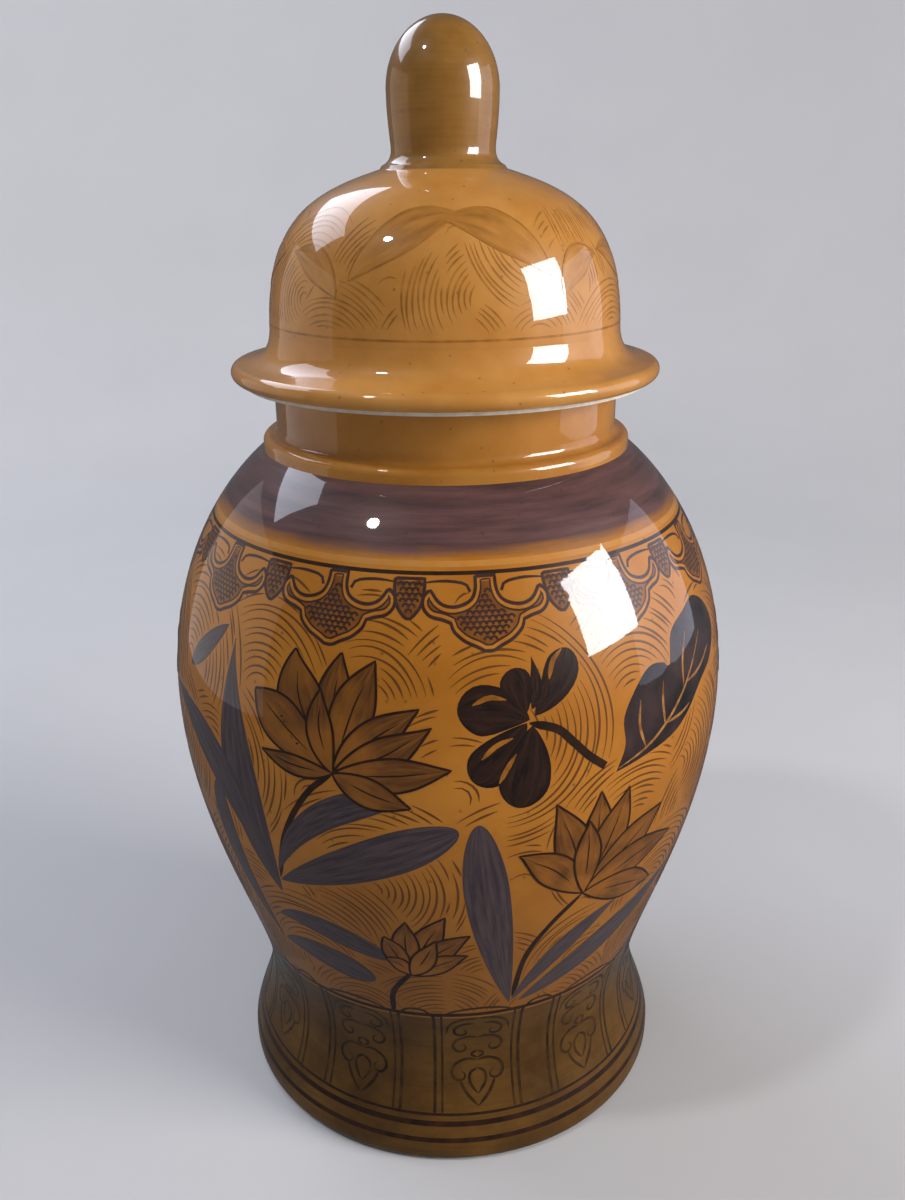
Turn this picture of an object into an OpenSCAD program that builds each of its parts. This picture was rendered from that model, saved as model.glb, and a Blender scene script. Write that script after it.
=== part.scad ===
// Lidded baluster ginger jar in glazed stoneware.
// Every section is a ring or shell turned about Z, millimetres, with the foot on z = 0.

/* [Belly] */
// Widest radius of the belly
belly_r = 99.5; // [90:0.5:110]
// Height of the widest point
belly_z = 161; // [150:1:172]
// Thickness of the fired wall
wall = 6; // [4:0.5:8]

/* [Foot] */
// Radius of the waist above the flared foot
waist_r = 73.8; // [68:0.2:80]
// Height of the waist
waist_z = 42; // [38:1:48]
// Radius of the foot at its flared edge
foot_r = 82.2; // [78:0.2:90]
// Height at which the flare ends and the edge turns under
foot_edge_z = 7; // [5:0.5:9]
// Thickness of the floor slab, from the ground to the inside of the jar
floor_top_z = 11; // [9:0.5:14]
// Depth of the shallow recess under the floor
recess_depth = 3.5; // [2:0.5:4]
// Inner radius of the bare ring that the jar stands on
recess_r = 70; // [60:0.5:73]

/* [Neck] */
// Outer radius of the straight neck
neck_r = 58.4; // [54:0.2:60]
// Thickness of the neck wall
neck_wall = 6; // [5:0.25:7]
// Height of the seam between shoulder and neck
neck_seam_z = 247; // [244:0.5:250]
// Height of the neck's rim
rim_z = 268.6; // [264:0.2:272]
// Radius of the round bead that covers the seam
bead_r = 2.4; // [1.5:0.1:3]

/* [Lid] */
// Gap between the neck's rim and the seat of the lid
seat_gap = 0.2; // [0.1:0.05:0.5]
// Outer radius of the brim
brim_r = 72.4; // [68:0.2:76]
// Radius of the brim's rounded lip
lip_r = 2.8; // [2:0.1:3.4]
// Radius of the bare seat ring under the lip
seat_r = 68.2; // [64:0.2:69]
// Height of the seam between brim and dome
dome_seam_z = 286; // [283:0.5:289]
// Radius of the dome at that seam
dome_r = 58.8; // [56:0.2:62]
// Height of the flat on the dome that carries the knob
crown_z = 335.4; // [330:0.2:340]
// Thickness of the dome
dome_wall = 5; // [4:0.5:6]
// Inner radius of the flange that drops into the neck
flange_in_r = 46; // [42:0.5:47]
// Play all round between the flange and the neck
flange_play = 1.8; // [1:0.1:2.5]
// Length of the flange below the seat
flange_len = 12.5; // [8:0.5:18]

/* [Knob] */
// Widest radius of the knob
knob_r = 18; // [16:0.2:20]
// Height of the widest point of the knob
knob_z = 358.6; // [354:0.2:362]
// Radius of the knob's stem
stem_r = 16.9; // [14:0.1:17.5]
// Radius of the knob's foot on the dome
knob_foot_r = 20.6; // [19:0.2:22]
// Height of the whole jar with its lid
total_z = 380; // [376:0.5:386]

/* [Hidden] */
$fn = 120;

steps = 18;
seam_t = 0.775;
seat_z = rim_z + seat_gap;
neck_in_r = neck_r - neck_wall;
flange_out_r = neck_in_r - flange_play;
rim_round = 2.2;
seat_ring_h = 1.2;
shoulder_r = neck_r + 2 * bead_r;
bead_z = neck_seam_z + bead_r;
lip_c = [brim_r - lip_r, seat_z + seat_ring_h + lip_r + 0.2];
brim_slope_z = seat_z + 5.4;
stem_z = crown_z + 7;

// Cubic Bezier curve, its heading and a point set in from it by d along its normal
function bez(p, t) =
    pow(1 - t, 3) * p[0] + 3 * pow(1 - t, 2) * t * p[1] + 3 * (1 - t) * t * t * p[2] + pow(t, 3) * p[3];
function heading(p, t) =
    pow(1 - t, 2) * (p[1] - p[0]) + 2 * (1 - t) * t * (p[2] - p[1]) + t * t * (p[3] - p[2]);
function inset(p, t, d) = let(h = heading(p, t)) bez(p, t) + d * [h[1], -h[0]] / norm(h);

// Runs of points: along a curve, along its inset, and round an arc
function run(p, from, to, n) = [for (i = [0 : n]) bez(p, from + (to - from) * i / n)];
function inner_run(p, from, to, d, n) = [for (i = [0 : n]) inset(p, from + (to - from) * i / n, d)];
function arc(c, r, from, to, n) =
    [for (i = [0 : n]) let(a = from + (to - from) * i / n) c + r * [cos(a), sin(a)]];
function clip_low(points, z) = [for (q = points) if (q[1] > z) q];
function clip_high(points, z) = [for (q = points) if (q[1] < z) q];

// Outer curves, each drawn downwards or outwards-down so that the inset lies inside the clay
shoulder = [
    [shoulder_r, neck_seam_z],
    [shoulder_r + 19, neck_seam_z - 15],
    [belly_r, belly_z + 41],
    [belly_r, belly_z]
];
lower_belly = [
    [belly_r, belly_z],
    [belly_r, belly_z - 52],
    [waist_r, waist_z + 23],
    [waist_r, waist_z]
];
flare = [
    [waist_r, waist_z],
    [waist_r, waist_z - 16],
    [foot_r - 3, foot_edge_z + 12],
    [foot_r, foot_edge_z]
];
dome = [
    [knob_foot_r, crown_z],
    [knob_foot_r + 22, crown_z - 6.7],
    [dome_r - 0.8, dome_seam_z + 35],
    [dome_r, dome_seam_z]
];
brim_top = [
    [dome_r, dome_seam_z],
    [dome_r + 0.8, dome_seam_z - 7.5],
    [lip_c[0] - 7, lip_c[1] + lip_r + 1.2],
    [lip_c[0], lip_c[1] + lip_r]
];
body_seam = bez(lower_belly, seam_t);
body_seam_in_r = inset(lower_belly, seam_t, wall)[0];

module turned(points) {
    rotate_extrude() polygon(points);
}

module jar_body() {
    color("#B87A35") turned(concat(
        run(shoulder, 0, 1, steps),
        run(lower_belly, 1 / steps, seam_t, steps),
        [[body_seam_in_r, body_seam[1]]],
        clip_low(inner_run(lower_belly, seam_t, 0, wall, steps), body_seam[1] + 0.5),
        clip_high(inner_run(shoulder, 1 - 1 / steps, 0, wall, steps), neck_seam_z - wall),
        [[neck_in_r, neck_seam_z - wall], [neck_in_r, neck_seam_z]]
    ));
}

module neck_collar() {
    color("#B5803F") turned(concat(
        [[neck_in_r, neck_seam_z], [shoulder_r, neck_seam_z]],
        arc([shoulder_r - bead_r, bead_z], bead_r, 0, 90, 6),
        arc([neck_r + bead_r, bead_z + 2 * bead_r], bead_r, 270, 180, 6),
        arc([neck_r - rim_round, rim_z - rim_round], rim_round, 0, 90, 6),
        arc([neck_in_r + rim_round, rim_z - rim_round], rim_round, 90, 180, 6)
    ));
}

module foot_base() {
    color("#6B4A1E") turned(concat(
        [[body_seam_in_r, body_seam[1]]],
        run(lower_belly, seam_t, 1, 6),
        run(flare, 1 / steps, 1, steps),
        arc([foot_r - 3.2, 3.2], 3.2, 0, -70, 6),
        [[foot_r - 4, 0], [recess_r, 0], [recess_r - 1.5, recess_depth], [0, recess_depth]],
        [[0, floor_top_z], [waist_r - wall - 8, floor_top_z]],
        arc([waist_r - wall - 8, floor_top_z + 8], 8, -60, 0, 4)
    ));
}

module lid_brim() {
    color("#B5803F") turned(concat(
        [[flange_in_r, seat_z], [seat_r, seat_z], [seat_r, seat_z + seat_ring_h]],
        arc(lip_c, lip_r, -80, 80, 10),
        run(brim_top, 1, 0, 12),
        [[dome_r - dome_wall, dome_seam_z], [flange_in_r, brim_slope_z]]
    ));
}

module lid_flange() {
    color("#D8CFC0") turned([
        [flange_in_r, seat_z - flange_len],
        [flange_out_r - 1, seat_z - flange_len],
        [flange_out_r, seat_z - flange_len + 1.5],
        [flange_out_r, seat_z],
        [flange_in_r, seat_z]
    ]);
}

module lid_dome() {
    color("#B5803F") turned(concat(
        [[0, crown_z]],
        run(dome, 0, 1, steps),
        [[dome_r - dome_wall, dome_seam_z]],
        clip_low(inner_run(dome, 1, 0, dome_wall, steps), dome_seam_z + 1),
        [[0, crown_z - dome_wall]]
    ));
}

module lid_knob() {
    color("#8A6224") turned(concat(
        [[0, crown_z], [knob_foot_r, crown_z]],
        arc([stem_r + 4.6, crown_z + 5.4], 4.6, 250, 180, 6),
        [[stem_r, stem_z]],
        [for (i = [1 : 6])
            let(u = i / 6)
            [stem_r + (knob_r - stem_r) * sin(90 * u), stem_z + (knob_z - stem_z) * u]],
        [for (i = [1 : 14])
            let(a = 90 * i / 14)
            [knob_r * cos(a), knob_z + (total_z - knob_z) * sin(a)]]
    ));
}

jar_body();
neck_collar();
foot_base();
lid_brim();
lid_flange();
lid_dome();
lid_knob();
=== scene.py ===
"""Looks of a lidded ginger jar: turned stoneware, brush painting under the glaze, and a studio.

Lengths in the script are millimetres unless a property says otherwise, and every mesh is made in
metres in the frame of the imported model. The painting is laid out on the wall by two numbers: the
angle round the jar in degrees, with 0 at the front and plus to the right, and the height.
"""
import math

import bmesh
import bpy
import numpy as np
from mathutils import Matrix, Vector
from mathutils.geometry import delaunay_2d_cdt


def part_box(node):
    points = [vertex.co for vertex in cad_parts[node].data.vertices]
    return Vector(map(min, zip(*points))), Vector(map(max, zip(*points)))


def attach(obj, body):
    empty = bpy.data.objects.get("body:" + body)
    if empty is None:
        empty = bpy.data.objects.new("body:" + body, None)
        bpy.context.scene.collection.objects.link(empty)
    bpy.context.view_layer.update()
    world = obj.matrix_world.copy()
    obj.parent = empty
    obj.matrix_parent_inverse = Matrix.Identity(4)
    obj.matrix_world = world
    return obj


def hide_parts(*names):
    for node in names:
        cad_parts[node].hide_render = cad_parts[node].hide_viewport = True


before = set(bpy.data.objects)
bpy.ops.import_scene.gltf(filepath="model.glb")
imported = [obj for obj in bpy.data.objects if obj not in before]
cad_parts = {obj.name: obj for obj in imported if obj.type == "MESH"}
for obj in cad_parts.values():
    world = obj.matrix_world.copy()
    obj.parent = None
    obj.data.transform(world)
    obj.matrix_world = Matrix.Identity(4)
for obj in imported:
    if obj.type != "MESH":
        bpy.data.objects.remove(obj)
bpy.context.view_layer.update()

bl_info = {
    "name": "Ginger jar looks",
    "version": (1, 0, 0),
    "blender": (4, 5, 0),
    "location": "View3D > Sidebar > Ginger jar",
    "description": "Builds the turned pieces, the painting and the studio of a lidded ginger jar",
    "category": "Object",
}

MM = 0.001


def hex_to_linear(code):
    """An sRGB hex colour such as '#A06030' as linear red, green and blue."""
    values = [int(code[i : i + 2], 16) / 255 for i in (1, 3, 5)]
    return tuple(v / 12.92 if v <= 0.04045 else ((v + 0.055) / 1.055) ** 2.4 for v in values)


def low(node):
    """Height of a node's lowest point."""
    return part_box(node)[0][2] / MM


def top(node):
    """Height of a node's highest point."""
    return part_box(node)[1][2] / MM


def reach(node):
    """Largest radius of a node, which is turned about Z."""
    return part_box(node)[1][0] / MM


# Sizes of the turned pieces: radii (R) and heights (Z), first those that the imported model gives

BELLY_R = reach("jar_body")
SHOULDER_R = reach("neck_collar")
FOOT_R = reach("foot_base")
BRIM_R = reach("lid_brim")
DOME_R = reach("lid_dome")
FLANGE_R = reach("lid_flange")
KNOB_FOOT_R = reach("lid_knob")
BODY_SEAM = low("jar_body")
NECK_SEAM = top("jar_body")
RIM_Z = top("neck_collar")
FLANGE_LOW = low("lid_flange")
SEAT_Z = top("lid_flange")
DOME_SEAM = top("lid_brim")
CROWN_Z = top("lid_dome")
TOTAL_Z = top("lid_knob")

WALL = 6
DOME_WALL = 5
BEAD_R = 2.4
NECK_R = SHOULDER_R - 2 * BEAD_R
NECK_IN_R = NECK_R - WALL
BEAD_Z = NECK_SEAM + BEAD_R
RIM_ROUND = 2.2
BELLY_Z = 161
WAIST_R = 73.8
WAIST_Z = 42
FOOT_EDGE_Z = 7
FOOT_ROUND = 3.2
FLOOR_TOP = 11
FLOOR_CORNER_R = 8
FOOT_RING_R = FOOT_R - 4
RECESS = 3.5
RECESS_R = 70
RECESS_TAPER = 1.5
CENTRE_STEP = 12
FLANGE_IN_R = 46
FLANGE_CUT = (1, 1.5)
SEAT_R = 68.2
SEAT_RING = 1.2
BRIM_RISE = 5.4
LIP_R = 2.8
LIP = (BRIM_R - LIP_R, SEAT_Z + SEAT_RING + LIP_R + 0.2)
STEM_R = 16.9
STEM_Z = CROWN_Z + 7
KNOB_R = 18
KNOB_Z = 358.6
KNOB_FILLET = 4.6
KNOB_FILLET_Z = CROWN_Z + 5.4

# Heights between which the clay is left bare, and above which the inside is glazed
BARE_RIM = (RIM_Z - 0.9, RIM_Z + 1)
BARE_FOOT = (-1, 0.15)
BARE_SEAT = (SEAT_Z - 0.1, SEAT_Z + SEAT_RING + 0.1)
LINING_LOW = 5

# Outer curves of the walls, each as the four control points of a Bezier curve (radius, height)

SHOULDER = [
    (SHOULDER_R, NECK_SEAM),
    (SHOULDER_R + 19, NECK_SEAM - 15),
    (BELLY_R, BELLY_Z + 41),
    (BELLY_R, BELLY_Z),
]
LOWER_BELLY = [
    (BELLY_R, BELLY_Z),
    (BELLY_R, BELLY_Z - 52),
    (WAIST_R, WAIST_Z + 23),
    (WAIST_R, WAIST_Z),
]
FLARE = [
    (WAIST_R, WAIST_Z),
    (WAIST_R, WAIST_Z - 16),
    (FOOT_R - 3, FOOT_EDGE_Z + 12),
    (FOOT_R, FOOT_EDGE_Z),
]
DOME = [
    (KNOB_FOOT_R, CROWN_Z),
    (KNOB_FOOT_R + 22, CROWN_Z - 6.7),
    (DOME_R - 0.8, DOME_SEAM + 35),
    (DOME_R, DOME_SEAM),
]
BRIM_TOP = [
    (DOME_R, DOME_SEAM),
    (DOME_R + 0.8, DOME_SEAM - 7.5),
    (LIP[0] - 7, LIP[1] + LIP_R + 1.2),
    (LIP[0], LIP[1] + LIP_R),
]


def bezier(points, start, end, count, inset=0):
    """Points of a cubic Bezier curve, set in from it by a distance along its normal."""
    p = np.array(points, dtype=float)
    t = np.linspace(start, end, count)[:, None]
    u = 1 - t
    line = u**3 * p[0] + 3 * u**2 * t * p[1] + 3 * u * t**2 * p[2] + t**3 * p[3]
    way = u**2 * (p[1] - p[0]) + 2 * u * t * (p[2] - p[1]) + t**2 * (p[3] - p[2])
    normal = np.stack([way[:, 1], -way[:, 0]], axis=1)
    normal /= np.linalg.norm(normal, axis=1)[:, None]
    return line + inset * normal


def arc(centre, radius, start, end, count):
    """Points round an arc, from one angle in degrees to another."""
    a = np.radians(np.linspace(start, end, count))
    return np.stack([centre[0] + radius * np.cos(a), centre[1] + radius * np.sin(a)], axis=1)


def joined(*runs):
    """The runs of points in one row, with repeated points taken out."""
    points = np.concatenate([np.atleast_2d(np.array(r, dtype=float)) for r in runs])
    apart = np.linalg.norm(np.diff(points, axis=0), axis=1) > 0.02
    return points[np.concatenate([[True], apart])]


# The seam of belly and foot: its share of the lower belly curve and the radius of its inner edge.
# The inside of the shoulder stops a little short of the widest place, where the lower wall begins.
SEAM_T = 0.775
INNER_SHOULDER_T = 0.97
SEAM_IN_R = bezier(LOWER_BELLY, SEAM_T, SEAM_T, 1, WALL)[0][0]


def body_section():
    """The shoulder and belly wall, from the neck seam down the outside and back up the inside."""
    inner_low = bezier(LOWER_BELLY, SEAM_T, 0, 24, WALL)
    inner_high = bezier(SHOULDER, INNER_SHOULDER_T, 0, 26, WALL)
    return joined(
        bezier(SHOULDER, 0, 1, 56),
        bezier(LOWER_BELLY, 0, SEAM_T, 48),
        (SEAM_IN_R, BODY_SEAM),
        inner_low[inner_low[:, 1] > BODY_SEAM + 0.5],
        inner_high[inner_high[:, 1] < NECK_SEAM - WALL],
        (NECK_IN_R, NECK_SEAM - WALL),
        (NECK_IN_R, NECK_SEAM),
        (SHOULDER_R, NECK_SEAM),
    )


def neck_section():
    """The neck: a round bead over the seam, a hollow above it, a straight wall and a round rim."""
    neck_low = BEAD_Z + 2.5 * BEAD_R
    neck_high = RIM_Z - 1.3 * RIM_ROUND
    return joined(
        (NECK_IN_R, NECK_SEAM),
        (SHOULDER_R, NECK_SEAM),
        arc((SHOULDER_R - BEAD_R, BEAD_Z), BEAD_R, 0, 90, 9),
        arc((NECK_R + BEAD_R, BEAD_Z + 2 * BEAD_R), BEAD_R, 270, 180, 9),
        np.linspace((NECK_R, neck_low), (NECK_R, neck_high), 7),
        arc((NECK_R - RIM_ROUND, RIM_Z - RIM_ROUND), RIM_ROUND, 0, 90, 9),
        arc((NECK_IN_R + RIM_ROUND, RIM_Z - RIM_ROUND), RIM_ROUND, 90, 180, 9),
        np.linspace((NECK_IN_R, neck_high), (NECK_IN_R, NECK_SEAM), 6),
    )


def foot_section():
    """The floor of the jar, the waist, the flared foot and the recess under it."""
    corner = (WAIST_R - WALL - FLOOR_CORNER_R, FLOOR_TOP + FLOOR_CORNER_R)
    return joined(
        (0, FLOOR_TOP),
        np.linspace((CENTRE_STEP, FLOOR_TOP), (corner[0], FLOOR_TOP), 6),
        arc(corner, FLOOR_CORNER_R, -84, 0, 8),
        (SEAM_IN_R, BODY_SEAM),
        bezier(LOWER_BELLY, SEAM_T, 1, 16),
        bezier(FLARE, 0, 1, 26),
        arc((FOOT_R - FOOT_ROUND, FOOT_ROUND), FOOT_ROUND, 0, -70, 8),
        (FOOT_RING_R, 0),
        (RECESS_R, 0),
        (RECESS_R - RECESS_TAPER, RECESS),
        np.linspace((RECESS_R - 4, RECESS), (CENTRE_STEP, RECESS), 6),
        (0, RECESS),
    )


def brim_section():
    """The brim: the flat seat and the step beside it, the round lip, and the hollow into the dome."""
    under_dome = (DOME_R - DOME_WALL, DOME_SEAM)
    return joined(
        (FLANGE_IN_R, SEAT_Z),
        (SEAT_R, SEAT_Z),
        (SEAT_R, SEAT_Z + SEAT_RING),
        arc(LIP, LIP_R, -80, 80, 18),
        bezier(BRIM_TOP, 1, 0, 22),
        under_dome,
        np.linspace(under_dome, (FLANGE_IN_R, SEAT_Z + BRIM_RISE), 5),
        (FLANGE_IN_R, SEAT_Z),
    )


def flange_section():
    """The plain ring that drops inside the neck, with its lower outer corner cut."""
    return joined(
        (FLANGE_IN_R, FLANGE_LOW),
        (FLANGE_R - FLANGE_CUT[0], FLANGE_LOW),
        (FLANGE_R, FLANGE_LOW + FLANGE_CUT[1]),
        (FLANGE_R, SEAT_Z),
        (FLANGE_IN_R, SEAT_Z),
        (FLANGE_IN_R, FLANGE_LOW),
    )


def dome_section():
    """The dome, flat under the knob."""
    inner = bezier(DOME, 1, 0, 30, DOME_WALL)
    return joined(
        (0, CROWN_Z),
        np.linspace((8, CROWN_Z), (KNOB_FOOT_R, CROWN_Z), 4),
        bezier(DOME, 0, 1, 48),
        (DOME_R - DOME_WALL, DOME_SEAM),
        inner[inner[:, 1] > DOME_SEAM + 1],
        (0, CROWN_Z - DOME_WALL),
    )


def knob_section():
    """The knob: a hollow at its foot, a stem that widens as a quarter sine and an oval cap."""
    rise = np.linspace(0, 1, 16)
    stem_r = STEM_R + (KNOB_R - STEM_R) * np.sin(rise * math.pi / 2)
    stem_z = STEM_Z + (KNOB_Z - STEM_Z) * rise
    turn = np.radians(np.linspace(0, 90, 30))
    cap = np.stack([KNOB_R * np.cos(turn), KNOB_Z + (TOTAL_Z - KNOB_Z) * np.sin(turn)], axis=1)
    return joined(
        (0, CROWN_Z),
        (KNOB_FOOT_R, CROWN_Z),
        arc((STEM_R + KNOB_FILLET, KNOB_FILLET_Z), KNOB_FILLET, 250, 180, 10),
        np.stack([stem_r, stem_z], axis=1),
        cap[:-1],
        (0, TOTAL_Z),
    )


# Node trees


def add_node(tree, kind, *values, **settings):
    """Adds a node. Plain values go to its inputs in order, and a named one to a property or input.

    A value may be a node, which stands for its first output in use, or one of a node's outputs.
    """
    node = tree.nodes.new(kind)
    named = {key: value for key, value in settings.items() if not hasattr(node, key)}
    for key, value in settings.items():
        if key not in named:
            setattr(node, key, value)
    used = [socket for socket in node.inputs if socket.enabled]
    pairs = list(zip(node.inputs, values))
    for key, value in named.items():
        pairs.append((next(s for s in used if s.name == key.replace("_", " ")), value))
    for socket, value in pairs:
        if isinstance(value, bpy.types.Node):
            value = next(s for s in value.outputs if s.enabled)
        if isinstance(value, bpy.types.NodeSocket):
            tree.links.new(value, socket)
        elif socket.type == "RGBA":
            socket.default_value = (*value, 1)
        else:
            socket.default_value = value
    return node


def new_tree(name, inputs):
    """An empty Geometry Nodes tree with named inputs, and its input and output nodes."""
    tree = bpy.data.node_groups.new(name, "GeometryNodeTree")
    tree.interface.new_socket("Geometry", in_out="INPUT", socket_type="NodeSocketGeometry")
    tree.interface.new_socket("Geometry", in_out="OUTPUT", socket_type="NodeSocketGeometry")
    for label, kind in inputs.items():
        tree.interface.new_socket(label, in_out="INPUT", socket_type=kind)
    return tree, add_node(tree, "NodeGroupInput"), add_node(tree, "NodeGroupOutput")


def end_tree(tree, shape, material, sink):
    """Realize Instances and Set Material, the last two nodes of every tree."""
    real = add_node(tree, "GeometryNodeRealizeInstances", Geometry=shape)
    dressed = add_node(tree, "GeometryNodeSetMaterial", Geometry=real, Material=material)
    tree.links.new(dressed.outputs[0], sink.inputs[0])


def turning_tree():
    """Turns a row of points about Z: point y of grid column x is profile point y turned x steps."""
    inputs = {"Segments": "NodeSocketInt", "Glaze": "NodeSocketMaterial"}
    tree, source, sink = new_tree("turning", inputs)
    profile = source.outputs["Geometry"]
    segments = source.outputs["Segments"]
    size = add_node(tree, "GeometryNodeAttributeDomainSize", component="MESH", Geometry=profile)
    points = size.outputs["Point Count"]
    columns = add_node(tree, "ShaderNodeMath", segments, 1.0, operation="ADD")
    grid = add_node(tree, "GeometryNodeMeshGrid", Vertices_X=columns, Vertices_Y=points)
    index = add_node(tree, "GeometryNodeInputIndex")
    row = add_node(tree, "ShaderNodeMath", index, points, operation="MODULO")
    share = add_node(tree, "ShaderNodeMath", index, points, operation="DIVIDE")
    column = add_node(tree, "ShaderNodeMath", share, operation="FLOOR")
    step = add_node(tree, "ShaderNodeMath", math.tau, segments, operation="DIVIDE")
    angle = add_node(tree, "ShaderNodeMath", column, step, operation="MULTIPLY")
    here = add_node(tree, "GeometryNodeInputPosition")
    place = add_node(tree, "GeometryNodeSampleIndex", data_type="FLOAT_VECTOR",
                     Geometry=profile, Value=here, Index=row)
    turned = add_node(tree, "ShaderNodeVectorRotate", rotation_type="Z_AXIS", Vector=place, Angle=angle)
    wall = add_node(tree, "GeometryNodeSetPosition", Geometry=grid, Position=turned)
    closed = add_node(tree, "GeometryNodeMergeByDistance", Geometry=wall, Distance=0.001 * MM)
    end_tree(tree, closed, source.outputs["Glaze"], sink)
    return tree


def ribbon_tree():
    """Sweeps a flat-topped wedge along brush lines, its top facing the way the wall faces.

    The wedge is one half width to each side, and its depth is a share of that half width.
    """
    inputs = {"Depth": "NodeSocketFloat", "Paint": "NodeSocketMaterial"}
    tree, source, sink = new_tree("brush_ribbon", inputs)
    depth = source.outputs["Depth"]
    line = add_node(tree, "GeometryNodeMeshToCurve", Mesh=source.outputs["Geometry"])
    facing = add_node(tree, "GeometryNodeInputNamedAttribute", data_type="FLOAT_VECTOR", Name="wall_normal")
    half = add_node(tree, "GeometryNodeInputNamedAttribute", data_type="FLOAT", Name="half_width")
    held = add_node(tree, "GeometryNodeSetCurveNormal", mode="FREE", Curve=line, Normal=facing)
    wedge = add_node(tree, "GeometryNodeCurvePrimitiveCircle", Resolution=3, Radius=1.0)
    deep = add_node(tree, "ShaderNodeMath", depth, -1.0, operation="MULTIPLY")
    size = add_node(tree, "ShaderNodeCombineXYZ", X=deep, Y=2 / math.sqrt(3), Z=1.0)
    drop = add_node(tree, "ShaderNodeMath", depth, -0.5, operation="MULTIPLY")
    shift = add_node(tree, "ShaderNodeCombineXYZ", X=drop)
    profile = add_node(tree, "GeometryNodeTransform", Geometry=wedge, Translation=shift, Scale=size)
    ribbon = add_node(tree, "GeometryNodeCurveToMesh", Curve=held, Profile_Curve=profile,
                      Scale=half, Fill_Caps=True)
    end_tree(tree, ribbon, source.outputs["Paint"], sink)
    return tree


# Finished pieces

# Edges that turn more than this many degrees are shaded sharp
SHARP_ANGLE = 32


def grown(mesh, tree, **values):
    """The plain mesh that a tree makes of a mesh, with only the tree's own material on it."""
    holder = bpy.data.objects.new("holder", mesh)
    bpy.context.scene.collection.objects.link(holder)
    modifier = holder.modifiers.new("shape", "NODES")
    modifier.node_group = tree
    for item in tree.interface.items_tree:
        if item.in_out == "INPUT" and item.name in values:
            modifier[item.identifier] = values[item.name]
    graph = bpy.context.evaluated_depsgraph_get()
    result = bpy.data.meshes.new_from_object(holder.evaluated_get(graph))
    bpy.data.objects.remove(holder)
    bpy.data.meshes.remove(mesh)
    material = [m for m in result.materials if m][0]
    result.materials.clear()
    result.materials.append(material)
    result.polygons.foreach_set("material_index", np.zeros(len(result.polygons), dtype=np.int32))
    return result


def volume(mesh):
    """Volume of a closed mesh, above 0 where its faces point outwards."""
    mesh.calc_loop_triangles()
    places = np.empty(len(mesh.vertices) * 3)
    mesh.vertices.foreach_get("co", places)
    corners = np.empty(len(mesh.loop_triangles) * 3, dtype=int)
    mesh.loop_triangles.foreach_get("vertices", corners)
    a, b, c = places.reshape(-1, 3)[corners.reshape(-1, 3)].transpose(1, 0, 2)
    return float(np.einsum("ij,ij->i", a, np.cross(b, c)).sum() / 6)


def finish_piece(name, mesh, body, slot, *nodes):
    """Makes a piece of a mesh: outward faces, smooth shading, its body and what it replaces. Slot is not
    used.
    """
    if volume(mesh) < 0:
        mesh.flip_normals()
    mesh.name = name
    mesh.shade_smooth()
    mesh.set_sharp_from_angle(angle=math.radians(SHARP_ANGLE))
    piece = bpy.data.objects.new(name, mesh)
    bpy.context.scene.collection.objects.link(piece)
    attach(piece, body)
    if nodes:
        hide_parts(*nodes)


def turned_piece(name, section, material, body, slot, node, bare=None, lining=None):
    """A piece turned on the wheel from its section.

    Faces between the two heights in bare are left as clay. A lining is the glaze inside the jar: it
    goes on faces above the recess that lie more than half a wall behind the outer wall.
    """
    sizes = bpy.context.scene.jar_sizes
    mesh = bpy.data.meshes.new(name)
    mesh.from_pydata([(r * MM, 0, z * MM) for r, z in section], [], [])
    shape = grown(mesh, turning_tree(), Segments=sizes.segments, Glaze=material)
    centres = np.empty(3 * len(shape.polygons), dtype=np.float32)
    shape.polygons.foreach_get("center", centres)
    x, y, z = centres.reshape(-1, 3).T / MM
    chosen = np.zeros(len(z), dtype=np.int32)
    if bare:
        shape.materials.append(bpy.data.materials["bare_stoneware"])
        chosen[(z > bare[0]) & (z < bare[1])] = 1
    if lining:
        shape.materials.append(lining)
        inner = np.hypot(x, y) < np.interp(z, BODY_WALL.z, BODY_WALL.r) - WALL / 2
        chosen[inner & (z > LINING_LOW)] = len(shape.materials) - 1
    shape.polygons.foreach_set("material_index", chosen)
    finish_piece(name, shape, body, slot, node)


# Laying paint on a wall


class Wall:
    """The outer wall of a turned piece. A flat place on it is (mm round the wall, height in mm)."""

    def __init__(self, radius, *curves):
        line = joined(*curves)
        order = np.argsort(line[:, 1])
        self.z = line[order, 1]
        self.r = line[order, 0]
        self.degree = radius * math.pi / 180

    def flat(self, points):
        """Flat places of points given as (degrees round the wall, height)."""
        return np.array(points, dtype=float) * (self.degree, 1)

    def place(self, flat, lift):
        """Places in metres, lifted off the wall by a distance in mm."""
        turn = np.radians(flat[:, 0] / self.degree)
        r = np.interp(flat[:, 1], self.z, self.r)
        way = np.stack([np.sin(turn) * r, -np.cos(turn) * r, flat[:, 1]], axis=1)
        return (way + lift * self.normal(flat)) * MM

    def normal(self, flat):
        """Unit vectors out of the wall, by the wall's lean over 1 mm up and 1 mm down."""
        turn = np.radians(flat[:, 0] / self.degree)
        above = np.interp(flat[:, 1] + 1, self.z, self.r)
        below = np.interp(flat[:, 1] - 1, self.z, self.r)
        out = np.stack([np.sin(turn), -np.cos(turn), -(above - below) / 2], axis=1)
        return out / np.linalg.norm(out, axis=1)[:, None]


BODY_WALL = Wall(
    BELLY_R, bezier(SHOULDER, 0, 1, 200), bezier(LOWER_BELLY, 0, 1, 200), bezier(FLARE, 0, 1, 90)
)
DOME_FACE = Wall(DOME_R, bezier(DOME, 0, 1, 200))

# How marks lie on a wall: the lowest layer's lift off it, the step up to the next layer, and the
# depth of a mark's back behind the wall
LIFT = 0.035
LAYER = 0.007
SUNK = 0.5

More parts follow.
